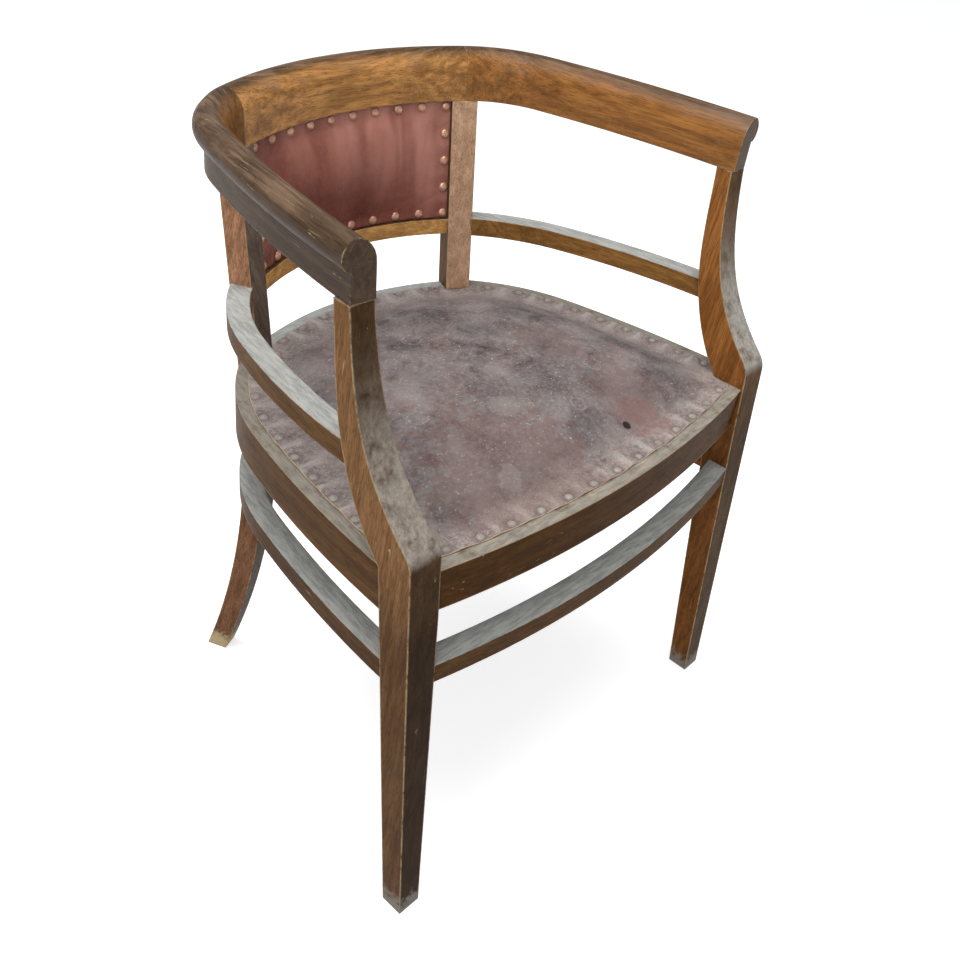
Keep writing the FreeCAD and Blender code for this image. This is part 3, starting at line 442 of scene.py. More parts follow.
    def hide(self) -> dict[str, Socket]:
        """Leather: fine pebble, soft creases and mottled colour.

        Returns:
            Colour, height and mottle.
        """
        place = self.place()
        cells = self.add("ShaderNodeTexVoronoi", feature="DISTANCE_TO_EDGE")
        self.fill(cells, {"Vector": place, "Scale": 620.0})
        pebble = self.between(cells.outputs["Distance"], 0.0, 0.16)
        folds = self.noise(place, 45.0, 5.0, 0.62, 0.5)
        mottle = self.noise(place, 13.0, 6.0, 0.66, 0.3)
        fine = self.noise(place, 210.0, 3.0, 0.6)
        share = self.plus(self.times(mottle, 0.7), self.times(fine, 0.3))
        color = self.mix(self.between(share, 0.36, 0.64), self.given["Deep"], self.given["Pale"])
        return {"Color": color, "Height": self.plus(self.times(pebble, 0.35), folds), "Mottle": mottle}

    def weave(self) -> dict[str, Socket]:
        """Plain weave of coarse threads over the first two axes.

        Returns:
            Colour and height.
        """
        place = self.place()
        wander = self.add("ShaderNodeTexNoise")
        self.fill(wander, {"Vector": place, "Scale": 90.0})
        uneven = self.scaled(wander.outputs["Color"], 0.0006)
        parts = self.axes(self.moved(place, uneven))
        turns = self.times(self.given["Threads"], math.pi)
        waves = [self.math("SINE", self.times(part, turns)) for part in parts[:2]]
        over = self.between(self.times(*waves), -0.4, 0.4)
        humps = [self.math("ABSOLUTE", wave) for wave in waves]
        height = self.plus(self.times(humps[0], over), self.times(humps[1], self.minus(1.0, over)))
        fibre = self.noise(place, 700.0, 3.0, 0.6)
        share = self.times(height, self.plus(fibre, 0.45), clamp=True)
        return {"Color": self.mix(share, self.given["Deep"], self.given["Pale"]), "Height": height}


EFFECT_MAKERS: dict[Effect, Callable[[EffectGroup], dict[str, Socket]]] = {
    Effect.GRAIN: EffectGroup.grain, Effect.WEAR: EffectGroup.wear, Effect.DUST: EffectGroup.dust,
    Effect.SCRATCHES: EffectGroup.scratches, Effect.FACING: EffectGroup.facing,
    Effect.SPOT: EffectGroup.spot, Effect.HIDE: EffectGroup.hide, Effect.WEAVE: EffectGroup.weave}


@cache
def effect_tree(effect: Effect) -> Tree:
    """Node group of an effect, built at its first use."""
    group = EffectGroup(effect)
    return group.close(EFFECT_MAKERS[effect](group))


class Run(Enum):
    """Direction of the grain: turn of the plank about X, Y and Z, in degrees."""

    ACROSS = (0.0, 0.0, 0.0)
    DEEP_LEFT = (0.0, 0.0, 100.0)
    DEEP_RIGHT = (0.0, 0.0, 80.0)
    UPRIGHT = (0.0, 84.0, 4.0)
    UPRIGHT_REAR = (0.0, 97.0, 12.0)


def new_material(name: str) -> tuple[Material, Graph, Node]:
    """Empty material with a Principled shader.

    Args:
        name: name of the finish.

    Returns:
        The material, its graph and its shader node.
    """
    material = bpy.data.materials.new(name)
    material.use_nodes = True
    graph = Graph(material.node_tree)
    return material, graph, material.node_tree.nodes["Principled BSDF"]


def set_bump(graph: Graph, shader: Node, height: Socket, distance: float,
             normal: Optional[Socket] = None) -> None:
    """Feed the shader's normal from a height in metres over an optional base normal.

    Args:
        graph: graph of the material.
        shader: its shader.
        height: height as a share.
        distance: metres at a share of 1.
        normal: base normal.
    """
    bump = graph.add("ShaderNodeBump")
    graph.fill(bump, {"Distance": distance, "Height": height})
    if normal is not None:
        graph.feed(bump.inputs["Normal"], normal)
    graph.feed(shader.inputs["Normal"], bump.outputs[0])


@dataclass(frozen=True)
class OakFinish:
    """Old dark stain on oak, worn at the edges and dusty on top, with painted light and shade: a lighter
    tone on the inner faces, a darker one on the outer faces, and a tone of its own on faces along one
    direction.
    """

    name: str
    run: Run
    # inner and outer are painted light and shade: the stain as lit on faces towards the middle and as
    # shaded on faces away from it
    inner: Color = tone(152, 96, 48)
    outer: Color = tone(84, 60, 38)
    deep_share: float = 0.5
    # painted light and shade on faces that look along side; by default painted shade on faces that look
    # down
    painted_side_tone: Color = tone(84, 60, 38)
    side: Triple = (0.0, 0.0, -1.0)
    dust: float = 0.5
    slope: float = 0.4
    dust_color: Color = tone(168, 170, 162)
    wear: float = 0.4
    wear_color: Color = tone(205, 178, 138)
    wear_width: float = 0.0022
    scratch: float = 0.3
    dry: float = 0.0
    dry_color: Color = tone(168, 128, 88)
    gloss: float = 0.04
    # strength of the painted shade on the wood under the seat
    painted_shade_below: float = 0.0
    foot: float = 0.0
    foot_color: Color = tone(134, 129, 121)

    def material(self) -> Material:
        """Node material of this finish.

        Returns:
            The material.
        """
        material, graph, shader = new_material("oak_" + self.name)
        turn = graph.add("ShaderNodeMapping")
        graph.feed(turn.inputs["Vector"], graph.place())
        turn.inputs["Rotation"].default_value = tuple(math.radians(angle) for angle in self.run.value)
        plank = turn.outputs[0]
        # painted light and shade: the tone follows which way a face looks
        facing = graph.group(Effect.FACING, direction=self.side)
        pale = graph.mix(facing.outputs["Inward"], self.outer, self.inner)
        pale = graph.mix(facing.outputs["Along"], pale, self.painted_side_tone)
        # painted shade: the wood is darkened below the seat
        if self.painted_shade_below > 0.0:
            pale = graph.mix(self.painted_shade_below_mask(graph), pale, (0.5, 0.47, 0.44, 1.0), "MULTIPLY")
        darker = tuple(self.deep_share * warm for warm in (1.0, 0.94, 0.88)) + (1.0,)
        deep = graph.mix(1.0, pale, darker, "MULTIPLY")
        grain = graph.group(Effect.GRAIN, vector=plank, pale=pale, deep=deep)
        wear = graph.group(Effect.WEAR, width=self.wear_width, amount=self.wear)
        scratch = graph.group(Effect.SCRATCHES, vector=plank, amount=self.scratch)
        dust = graph.group(Effect.DUST, amount=self.dust, scale=55.0, slope=self.slope)
        marks = graph.math("MAXIMUM", graph.times(wear.outputs["Mask"], 0.85),
                           graph.times(scratch.outputs["Mask"], 0.7))
        color = graph.mix(marks, grain.outputs["Color"], self.wear_color)
        film = dust.outputs["Mask"]
        if self.dry > 0.0:
            color = graph.mix(self.dry_mask(graph, plank), color, self.dry_color)
        if self.foot > 0.0:
            color = graph.mix(self.foot_mask(graph), color, self.foot_color)
        streak = graph.noise(graph.stretch(plank, (40.0, 240.0, 240.0)), 1.0, 5.0, 0.72)
        thin = tuple(0.66 * channel for channel in self.dust_color[:3]) + (1.0,)
        settled = graph.mix(graph.between(streak, 0.34, 0.62), thin, self.dust_color)
        color = graph.mix(graph.times(film, 0.86), color, settled)
        rough = graph.plus(graph.times(graph.noise(plank, 30.0, 3.0), 0.24), 0.3)
        rough = graph.plus(rough, graph.times(graph.math("MAXIMUM", film, marks), 0.4), clamp=True)
        graph.fill(shader, {"Base Color": color, "Roughness": rough, "Coat Roughness": 0.25,
                            "Coat Weight": graph.minus(self.gloss, film, clamp=True),
                            "Specular IOR Level": 0.012})
        set_bump(graph, shader, grain.outputs["Height"], 0.00022, wear.outputs["Normal"])
        return material

    def dry_mask(self, graph: Graph, plank: Socket) -> Socket:
        """Dry streaks along the grain where hands have rubbed the stain off the top.

        Args:
            graph: graph of the material.
            plank: place along the grain.

        Returns:
            The mask.
        """
        up = graph.axes(graph.normal())[2]
        streaks = graph.noise(graph.stretch(plank, (7.0, 170.0, 170.0)), 1.0, 4.0, 0.7)
        patch = graph.noise(graph.place(), 14.0, 3.0, 0.6)
        rubbed = graph.between(graph.plus(graph.times(streaks, 0.6), graph.times(patch, 0.4)), 0.47, 0.63)
        return graph.times(graph.times(rubbed, graph.between(up, 0.05, 0.6)), self.dry)

    def painted_shade_below_mask(self, graph: Graph) -> Socket:
        """Share of the painted shade under the seat."""
        height = graph.axes(graph.place())[2]
        return graph.times(graph.between(height, 0.47, 0.36), self.painted_shade_below)

    def foot_mask(self, graph: Graph) -> Socket:
        """Ragged band of scuffed wood above the floor.

        Args:
            graph: graph of the material.

        Returns:
            The mask.
        """
        height = graph.axes(graph.place())[2]
        ragged = graph.times(graph.noise(graph.place(), 75.0, 5.0, 0.72), 0.07)
        edge = graph.plus(height, ragged)
        return graph.times(graph.between(edge, self.foot + 0.036, self.foot + 0.018), 0.8)


@dataclass(frozen=True)
class LeatherMark:
    """One stain on the leather, about a place in plan."""

    centre: tuple[float, float]
    radius: float
    color: Color
    strength: float
    ragged: float = 0.5
    ring_only: bool = False


@dataclass(frozen=True)
class LeatherFinish:
    """Oxblood leather with a film of dust, specks and marks."""

    name: str
    pale: Color
    deep: Color
    film_color: Color
    film: float
    rough: float
    coat: float
    speck: float = 0.0
    border_color: Color = (0.0, 0.0, 0.0, 1.0)
    border: float = 0.0
    # painted sheen: reflected light painted into the colour
    painted_sheen_color: Color = (0.0, 0.0, 0.0, 1.0)
    sheen: float = 0.0
    marks: tuple[LeatherMark, ...] = ()

    def material(self) -> Material:
        """Node material of this finish.

        Returns:
            The material.
        """
        material, graph, shader = new_material("leather_" + self.name)
        hide = graph.group(Effect.HIDE, pale=self.pale, deep=self.deep)
        color = hide.outputs["Color"]
        place = graph.place()
        cloud = graph.noise(place, 22.0, 7.0, 0.7, 0.6)
        dust = graph.group(Effect.DUST, amount=self.film, scale=30.0, slope=0.3)
        veil = graph.times(dust.outputs["Mask"], graph.between(cloud, 0.3, 0.72, 0.35, 1.0))
        color = graph.mix(graph.times(veil, self.film), color, self.film_color)
        speck = graph.between(graph.noise(place, 330.0, 3.0, 0.75), 0.61, 0.7)
        rubbing = graph.noise(graph.stretch(place, (150.0, 520.0, 300.0)), 1.0, 3.0, 0.7, 1.2)
        streak = graph.between(rubbing, 0.62, 0.74)
        light = graph.times(graph.math("MAXIMUM", speck, streak), self.speck, clamp=True)
        color = graph.mix(light, color, tone(208, 202, 196))
        if self.border > 0.0:
            color = self.bordered(graph, color, cloud)
        # painted sheen, paler towards the top and right
        if self.sheen > 0.0:
            color = graph.mix(self.painted_sheen_mask(graph), color, self.painted_sheen_color)
        for mark in self.marks:
            spot = graph.group(Effect.SPOT, centre=(*mark.centre, 0.0), radius=mark.radius,
                               ragged=mark.ragged)
            share = graph.times(spot.outputs["Ring" if mark.ring_only else "Mask"], mark.strength)
            color = graph.mix(share, color, mark.color)
        rough = graph.plus(graph.times(hide.outputs["Mottle"], 0.2), self.rough - 0.1)
        rough = graph.plus(rough, graph.times(veil, 0.35), clamp=True)
        graph.fill(shader, {"Base Color": color, "Roughness": rough, "Coat Roughness": 0.36,
                            "Coat Weight": self.coat, "Specular IOR Level": 0.1})
        set_bump(graph, shader, hide.outputs["Height"], 0.0007)
        return material

    def painted_sheen_mask(self, graph: Graph) -> Socket:
        """Share of the painted sheen of reflected light: most at the top and right, in soft upright folds.

        Args:
            graph: graph of the material.

        Returns:
            The mask.
        """
        place = graph.place()
        across, _, height = graph.axes(place)
        folds = graph.noise(graph.stretch(place, (30.0, 30.0, 5.0)), 1.0, 2.5, 0.5, 0.4)
        upper = graph.between(graph.plus(height, graph.times(across, 0.5)), 0.56, 0.7, 0.08, 1.0)
        return graph.times(graph.times(upper, graph.between(folds, 0.34, 0.66, 0.35, 1.0)), self.sheen)

    def bordered(self, graph: Graph, color: Socket, cloud: Socket) -> Socket:
        """Colour with pale dust along the nailed border, a painted highlight on the raised puckers between
        nails and painted shade in the dips at the nails.

        Args:
            graph: graph of the material.
            color: colour so far.
            cloud: soft noise.

        Returns:
            The new colour.
        """
        rim = graph.add("ShaderNodeAttribute", attribute_name="border").outputs["Fac"]
        lift = graph.add("ShaderNodeAttribute", attribute_name="pucker").outputs["Fac"]
        crinkle = graph.noise(graph.place(), 95.0, 5.0, 0.7, 1.4)
        lines = graph.between(graph.math("ABSOLUTE", graph.minus(crinkle, 0.5)), 0.05, 0.005)
        share = graph.times(rim, graph.between(cloud, 0.36, 0.62, 0.25, 1.0))
        color = graph.mix(graph.times(share, self.border), color, self.border_color)
        folds = graph.times(graph.times(lines, rim), 0.32)
        color = graph.mix(folds, color, tone(206, 202, 196))
        # painted highlight on the raised puckers
        color = graph.mix(graph.between(lift, 0.08, 0.4, 0.0, 0.65), color, tone(196, 190, 184))
        # painted shade in the dip about each nail
        return graph.mix(graph.between(lift, -0.1, -0.42, 0.0, 0.5), color, tone(92, 76, 74))


@dataclass(frozen=True)
class BrassFinish:
    """Tarnished brass of the dome nails."""

    name: str
    bright: Color
    tarnish: Color
    metal: float
    rough: float

    def material(self) -> Material:
        """Node material of this finish.

        Returns:
            The material.
        """
        material, graph, shader = new_material("brass_" + self.name)
        spots = graph.noise(graph.place(), 420.0, 4.0, 0.65)
        stain = graph.between(graph.noise(graph.place(), 60.0, 3.0, 0.6), 0.42, 0.66)
        share = graph.math("MAXIMUM", graph.between(spots, 0.5, 0.7), graph.times(stain, 0.6))
        graph.fill(shader, {"Base Color": graph.mix(share, self.bright, self.tarnish),
                            "Metallic": graph.times(graph.minus(1.0, share), self.metal),
                            "Roughness": graph.plus(graph.times(share, 0.35), self.rough)})
        set_bump(graph, shader, spots, 0.00025)
        return material


@dataclass(frozen=True)
class ClothFinish:
    """Coarse cloth or webbing of plain weave."""

    name: str
    pale: Color
    deep: Color
    threads: float

    def material(self) -> Material:
        """Node material of this finish.

        Returns:
            The material.
        """
        material, graph, shader = new_material("cloth_" + self.name)
        weave = graph.group(Effect.WEAVE, pale=self.pale, deep=self.deep, threads=self.threads)
        graph.fill(shader, {"Base Color": weave.outputs["Color"], "Roughness": 0.88, "Sheen Weight": 0.15})
        set_bump(graph, shader, weave.outputs["Height"], 0.5 / self.threads)
        return material


@dataclass(frozen=True)
class SteelFinish:
    """Dull steel of the brace screws."""

    name: str = "screw"

    def material(self) -> Material:
        """Node material of this finish.

        Returns:
            The material.
        """
        material, graph, shader = new_material("steel_" + self.name)
        rust = graph.between(graph.noise(graph.place(), 240.0, 4.0, 0.7), 0.46, 0.66)
        graph.fill(shader, {"Base Color": graph.mix(rust, tone(140, 138, 134), tone(96, 62, 40)),
                            "Metallic": graph.minus(1.0, rust),
                            "Roughness": graph.plus(graph.times(rust, 0.4), 0.38)})
        return material


class Surface:
    """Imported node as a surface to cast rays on."""

    def __init__(self, node: str) -> None:
        """Build the search tree of one node's mesh.

        Args:
            node: name of the node.
        """
        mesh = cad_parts[node].data
        self.tree = BVHTree.FromPolygons([vertex.co.copy() for vertex in mesh.vertices],
                                         [tuple(face.vertices) for face in mesh.polygons])

    def hit(self, origin: Vector, direction: Vector) -> Optional[Vector]:
        """First point that a ray meets, or None."""
        return self.tree.ray_cast(origin, direction)[0]

    def edge(self, near: float, far: float, ray: Callable[[float], Ray]) -> float:
        """Largest number between two that still gives a hit.

        Args:
            near: number whose ray meets the surface.
            far: number whose ray misses it.
            ray: origin and direction of the ray for a number.

        Returns:
            The number at the edge of the surface.
        """
        for _ in range(EDGE_HALVINGS):
            middle = (near + far) / 2
            if self.hit(*ray(middle)) is None:
                far = middle
            else:
                near = middle
        return near


def islands(node: str) -> list[tuple[Vector, Vector, list[Vector]]]:
    """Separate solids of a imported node.

    Args:
        node: name of the node.

    Returns:
        Middle of the largest flat side, direction away from that side, and the points of each solid.
    """
    mesh = bmesh.new()
    mesh.from_mesh(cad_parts[node].data)
    bmesh.ops.remove_doubles(mesh, verts=mesh.verts, dist=MERGE_DISTANCE)
    waiting = set(mesh.faces)
    found = []
    while waiting:
        first = min(waiting, key=lambda face: face.index)
        waiting.discard(first)
        stack, faces = [first], []
        while stack:
            face = stack.pop()
            faces.append(face)
            for edge in face.edges:
                for other in edge.link_faces:
                    if other in waiting:
                        waiting.discard(other)
                        stack.append(other)
        sides: dict[tuple[int, int, int], list[bmesh.types.BMFace]] = {}
        for face in faces:
            face.normal_update()
            key = tuple(round(value * SIDE_STEPS) for value in face.normal)
            sides.setdefault(key, []).append(face)
        base = max(sides.values(), key=lambda group: sum(face.calc_area() for face in group))
        area = sum(face.calc_area() for face in base)
        middle = sum((face.calc_center_median() * face.calc_area() for face in base), Vector()) / area
        points = {vertex.index: vertex.co.copy() for face in faces for vertex in face.verts}
        found.append((middle, -base[0].normal.copy(), list(points.values())))
    mesh.free()
    return found


def grid_faces(columns: int, rows: int) -> list[Face]:
    """Faces of a grid of points that are counted row by row.

    Args:
        columns: cells across.
        rows: cells up.

    Returns:
        Point numbers of each face.
    """
    side = columns + 1
    starts = [row * side + column for row in range(rows) for column in range(columns)]
    return [(start, start + 1, start + side + 1, start + side) for start in starts]


def grid_rim(columns: int, rows: int) -> list[int]:
    """Boundary points of such a grid in order.

    Args:
        columns: cells across.
        rows: cells up.

    Returns:
        Their numbers.
    """
    side = columns + 1
    around = list(range(side))
    around += [row * side + columns for row in range(1, rows + 1)]
    around += [rows * side + column for column in range(columns - 1, -1, -1)]
    return around + [row * side for row in range(rows - 1, 0, -1)]


def tube_faces(rings: int, sides: int) -> list[Face]:
    """Faces of a row of rings, with the first ring closed.

    Args:
        rings: number of rings.
        sides: points of a ring.

    Returns:
        Point numbers of each face.
    """
    faces: list[Face] = [tuple(reversed(range(sides)))]
    for low in range(0, (rings - 1) * sides, sides):
        for side in range(sides):
            after = (side + 1) % sides
            faces.append((low + side, low + after, low + sides + after, low + sides + side))
    return faces


def joined(shells: Iterable[Shell]) -> Shell:
    """Points and faces of several forms as one.

    Args:
        shells: the forms in order.

    Returns:
        All points, and faces with the numbers moved on.
    """
    points: list[Vector] = []
    faces: list[Face] = []
    for more, around in shells:
        faces += [tuple(corner + len(points) for corner in face) for face in around]
        points += more
    return points, faces


def new_piece(name: str, points: Sequence[Vector], faces: Sequence[Sequence[int]],
              finishes: Sequence[Material], smooth: bool = True) -> Piece:
    """Add a mesh object to the scene.

    Args:
        name: name of the piece.
        points: its points in metres.
        faces: point numbers of each face.
        finishes: materials in order.
        smooth: whether faces shade smoothly.

    Returns:
        The new object.
    """
    mesh = bpy.data.meshes.new(name)
    mesh.from_pydata([tuple(point) for point in points], [], [tuple(face) for face in faces])
    for material in finishes:
        mesh.materials.append(material)
    mesh.polygons.foreach_set("use_smooth", [smooth] * len(mesh.polygons))
    mesh.update()
    piece = bpy.data.objects.new(name, mesh)
    bpy.context.scene.collection.objects.link(piece)
    return piece


def settle(piece: Piece, held: Sequence[int], pressure: float, limit: float,
           heading: Callable[[Vector], Vector]) -> None:
    """Swell a piece by cloth simulation.

    Args:
        piece: open surface that swells along its normals.
        held: numbers of the points that stay.
        pressure: air pressure under the cloth.
        limit: largest move of a point in metres.
        heading: outward direction at a point.
    """
    mesh = piece.data
    start = [vertex.co.copy() for vertex in mesh.vertices]
    pins = piece.vertex_groups.new(name="held")
    pins.add(list(held), 1.0, "REPLACE")
    cloth = piece.modifiers.new("swell", "CLOTH")
    for name, value in CLOTH.items():
        setattr(cloth.settings, name, value)
    cloth.settings.vertex_group_mass = pins.name
    cloth.settings.use_pressure = True
    cloth.settings.uniform_pressure_force = pressure
    cloth.settings.effector_weights.gravity = 0.0
    cloth.point_cache.frame_start = 1
    cloth.point_cache.frame_end = SETTLE_FRAMES
    scene = bpy.context.scene
    for number in range(1, SETTLE_FRAMES + 1):
        scene.frame_set(number)
    shaped = piece.evaluated_get(bpy.context.evaluated_depsgraph_get())
    ends = [vertex.co.copy() for vertex in shaped.data.vertices]
    piece.modifiers.remove(cloth)
    piece.vertex_groups.remove(pins)
    for vertex, before, after in zip(mesh.vertices, start, ends):
        rise = max(0.0, (after - before).dot(heading(before)))
        vertex.co = before + heading(before) * min(limit, rise)
    scene.frame_set(1)
    mesh.update()


def close_below(piece: Piece, rim: Sequence[int], drop: Callable[[Vector], Vector],
                edge_slot: int) -> None:
    """Close an open surface with a rim and an under side of its own form.

    Args:
        piece: the open surface.
        rim: numbers of its boundary points in order.
        drop: where a point goes on the under side.
        edge_slot: material number of the rim faces.
    """
    mesh = bmesh.new()
    mesh.from_mesh(piece.data)
    top = list(mesh.verts)
    skin = list(mesh.faces)
    low = [mesh.verts.new(drop(vertex.co)) for vertex in top]
    for face in skin:
        mesh.faces.new([low[vertex.index] for vertex in reversed(face.verts)])
    for index, number in enumerate(rim):
        after = rim[(index + 1) % len(rim)]
        face = mesh.faces.new((top[number], low[number], low[after], top[after]))
        face.material_index = edge_slot
    bmesh.ops.recalc_face_normals(mesh, faces=mesh.faces)
    mesh.to_mesh(piece.data)
    mesh.free()


def round_off(piece: Piece) -> None:
    """Round a piece off by one level of subdivision."""
    smooth = piece.modifiers.new("smooth", "SUBSURF")
    smooth.levels = smooth.render_levels = 1


def finish_piece(piece: Piece, nodes: Sequence[str]) -> None:
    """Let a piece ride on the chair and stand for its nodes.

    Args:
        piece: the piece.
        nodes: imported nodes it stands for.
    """
    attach(piece, "root")
    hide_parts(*nodes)
    log.info("%s stands for %s", piece.name, ", ".join(nodes))


@dataclass
class OakFrame:
    """Legs, rails, stretchers and bow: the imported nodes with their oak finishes."""

    finishes: dict[str, OakFinish] = field(default_factory=dict)
    soften_angle: float = math.radians(38.0)

    def choose(self) -> None:
        """Give each wooden node its finish, with tones that differ from piece to piece and between left and
        right by painted light and shade.
        """
        pale_top = tone(184, 186, 182)
        grey_top = tone(180, 183, 179)
        margin = tone(158, 152, 140)
        rubbed = tone(150, 122, 98)
        left_arm = OakFinish(
            "arm_left", Run.DEEP_LEFT, inner=tone(136, 94, 50), outer=tone(86, 67, 50), dust=-0.2,
            scratch=0.45, dry=0.36, dry_color=rubbed, gloss=0.22)
        right_arm = OakFinish(
            "arm_right", Run.DEEP_RIGHT, inner=tone(168, 113, 57), outer=tone(98, 72, 46), dust=-0.2,
            dry=0.3, dry_color=rubbed, gloss=0.3, deep_share=0.44)
        crest = OakFinish(
            "crest", Run.ACROSS, inner=tone(206, 148, 84), outer=tone(100, 74, 48), dust=-0.2,
            wear=0.1, dry=0.4, dry_color=rubbed, gloss=0.3, deep_share=0.4)
        left_leg = OakFinish(
            "front_leg_left", Run.UPRIGHT, inner=tone(128, 90, 52), outer=tone(82, 58, 34), dust=0.62,
            slope=0.06, wear=0.55, side=(-1.0, 0.0, 0.0), painted_side_tone=tone(140, 102, 66),
            wear_width=0.003, painted_shade_below=0.95, foot=0.025, dust_color=tone(166, 157, 145))
        right_leg = replace(
            left_leg, name="front_leg_right", inner=tone(162, 106, 56), outer=tone(90, 66, 42),
            side=(0.0, -1.0, 0.0), painted_side_tone=tone(112, 84, 56), painted_shade_below=0.75,
            dust_color=tone(182, 178, 168))
        # the rear posts differ by painted light and shade: the left post's inner faces painted in shade,
        # the right post's in light
        left_post = OakFinish(
            "rear_leg_left", Run.UPRIGHT_REAR, inner=tone(122, 106, 92), outer=tone(176, 130, 98),
            dust=0.1, wear=0.5, painted_shade_below=1.25, foot=0.03, foot_color=tone(190, 172, 132))
        right_post = replace(
            left_post, name="rear_leg_right", inner=tone(212, 172, 140), outer=tone(116, 88, 62),
            deep_share=0.66, painted_shade_below=0.8, foot_color=tone(170, 156, 128))
        front_rail = OakFinish(
            "front_rail", Run.ACROSS, outer=tone(86, 55, 20), dust=0.7, wear=0.8, scratch=0.55,
            dust_color=margin)
        side_left = OakFinish(
            "rail_left", Run.DEEP_LEFT, outer=tone(98, 68, 38), dust=0.8, wear=0.7, dust_color=margin)
        side_right = replace(side_left, name="rail_right", run=Run.DEEP_RIGHT)
        mid_left = OakFinish(
            "mid_left", Run.DEEP_LEFT, inner=tone(140, 98, 56), outer=tone(104, 74, 42), dust=1.1,
            dust_color=pale_top)
        mid_right = replace(mid_left, name="mid_right", run=Run.DEEP_RIGHT, inner=tone(156, 112, 62))
        # the lower rail's inner tone is painted light, brightened against the shade it lies in
        lower = OakFinish(
            "lower_rail", Run.ACROSS, inner=tone(228, 172, 104), outer=tone(96, 70, 46), dust=-0.3)
        cross = OakFinish(
            "cross_rail", Run.ACROSS, outer=tone(94, 66, 38), dust=0.95, dust_color=grey_top)
        low_left = OakFinish(
            "stretcher_left", Run.DEEP_LEFT, outer=tone(92, 65, 40), dust=0.95, dust_color=grey_top)
        low_right = replace(low_left, name="stretcher_right", run=Run.DEEP_RIGHT)
        plain = OakFinish(
            "inner_wood", Run.ACROSS, inner=tone(176, 136, 88), outer=tone(164, 124, 80), dust=0.2,
            wear=0.2)
        self.finishes = {
            "arm_left": left_arm, "arm_right": right_arm, "crest_rail": crest,
            "front_leg_left": left_leg, "front_leg_right": right_leg,
            "back_leg_left": left_post, "back_leg_right": right_post,
            "mid_rail_left": mid_left, "mid_rail_right": mid_right, "back_lower_rail": lower,
            "seat_rail_front": front_rail, "seat_rail_left": side_left, "seat_rail_right": side_right,
            "seat_rail_back": cross, "stretcher_front": cross, "stretcher_back": cross,
            "stretcher_left": low_left, "stretcher_right": low_right,
            "bow_dowels": plain, "corner_blocks": plain, "back_board": plain}

    def soften(self) -> Tree:
        """Modifier group that shades smoothly over edges of small turn.

        Returns:
            The group.
        """
        tree = bpy.data.node_groups.new("soft_shading", "GeometryNodeTree")
        for way in ("INPUT", "OUTPUT"):
            tree.interface.new_socket("Geometry", in_out=way, socket_type="NodeSocketGeometry")
        graph = Graph(tree)
        entry, leave = graph.add("NodeGroupInput"), graph.add("NodeGroupOutput")
        merged = graph.add("GeometryNodeMergeByDistance")
        graph.fill(merged, {"Geometry": entry.outputs[0], "Distance": MERGE_DISTANCE})
        turn = graph.add("GeometryNodeInputMeshEdgeAngle")
        small = graph.add("FunctionNodeCompare", data_type="FLOAT", operation="LESS_THAN")
        graph.feed(small.inputs[0], turn.outputs["Unsigned Angle"])
        small.inputs[1].default_value = self.soften_angle
        faces = graph.add("GeometryNodeSetShadeSmooth", domain="FACE")
        edges = graph.add("GeometryNodeSetShadeSmooth", domain="EDGE")
        graph.feed(faces.inputs["Geometry"], merged.outputs[0])
        graph.fill(edges, {"Geometry": faces.outputs[0], "Shade Smooth": small.outputs[0]})
        graph.feed(leave.inputs[0], edges.outputs[0])
        return tree

    def dress(self) -> None:
        """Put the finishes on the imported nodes."""
        self.choose()
        shading = self.soften()
        made: dict[str, Material] = {}
        for node, finish in self.finishes.items():
            if finish.name not in made:
                made[finish.name] = finish.material()
            self.coat(node, made[finish.name])
            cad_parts[node].modifiers.new("soft_shading", "NODES").node_group = shading
        self.coat("block_screws", SteelFinish().material())

    def coat(self, node: str, material: Material) -> None:
        """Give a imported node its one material.

        Args:
            node: name of the node.
            material: its material.
        """
        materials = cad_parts[node].data.materials
        materials.clear()
        materials.append(material)
        log.info("%s in %s", node, material.name)


@dataclass(frozen=True)
class NailPull:
    """How nailed leather dips at each nail and stands up between two, in metres."""

    nails: str
    seed: int
    uneven: tuple[float, float]
    far: float
    dip: float
    dip_width: float
    rise: float
    rise_from: float
    rise_run: float
    middle_width: float
    fade: float
    in_plan: bool = False

    def moves(self, piece: Piece) -> dict[int, Triple]:
        """Work out the pull at each point near a nail.

        Args:
            piece: the leather.

        Returns:
            Dip in metres, share of the rise and distance to the nearest nail, by point number.
        """
        heads = [middle for middle, _, _ in islands(self.nails)]
        chance = random.Random(self.seed)
        depth = [chance.uniform(*self.uneven) for _ in heads]
        found = {}
        for vertex in piece.data.vertices:
            gaps = [(head.xy - vertex.co.xy if self.in_plan else head - vertex.co).length for head in heads]
            first, second = sorted(range(len(heads)), key=gaps.__getitem__)[:2]
            away = gaps[first]
            if away > self.far:
                continue
            dip = self.dip * depth[first] * math.exp(-((away / self.dip_width) ** 2))
            middle = math.exp(-(((gaps[second] - away) / self.middle_width) ** 2))
            share = smooth_step((away - self.rise_from) / self.rise_run) * middle
            found[vertex.index] = dip, share * math.exp(-((away / self.fade) ** 2)), away
        return found


SEAT_PULL = NailPull(
    "seat_nails", seed=11, uneven=(0.7, 1.25), far=0.07, dip=0.0026, dip_width=0.010, rise=0.00286,
    rise_from=0.006, rise_run=0.012, middle_width=0.016, fade=0.026, in_plan=True)
BACK_PULL = NailPull(
    "back_nails", seed=5, uneven=(0.7, 1.2), far=0.06, dip=0.0010, dip_width=0.011, rise=0.0015,
    rise_from=0.005, rise_run=0.010, middle_width=0.013, fade=0.024)
REAR_PULL = replace(BACK_PULL, nails="back_outer_nails")


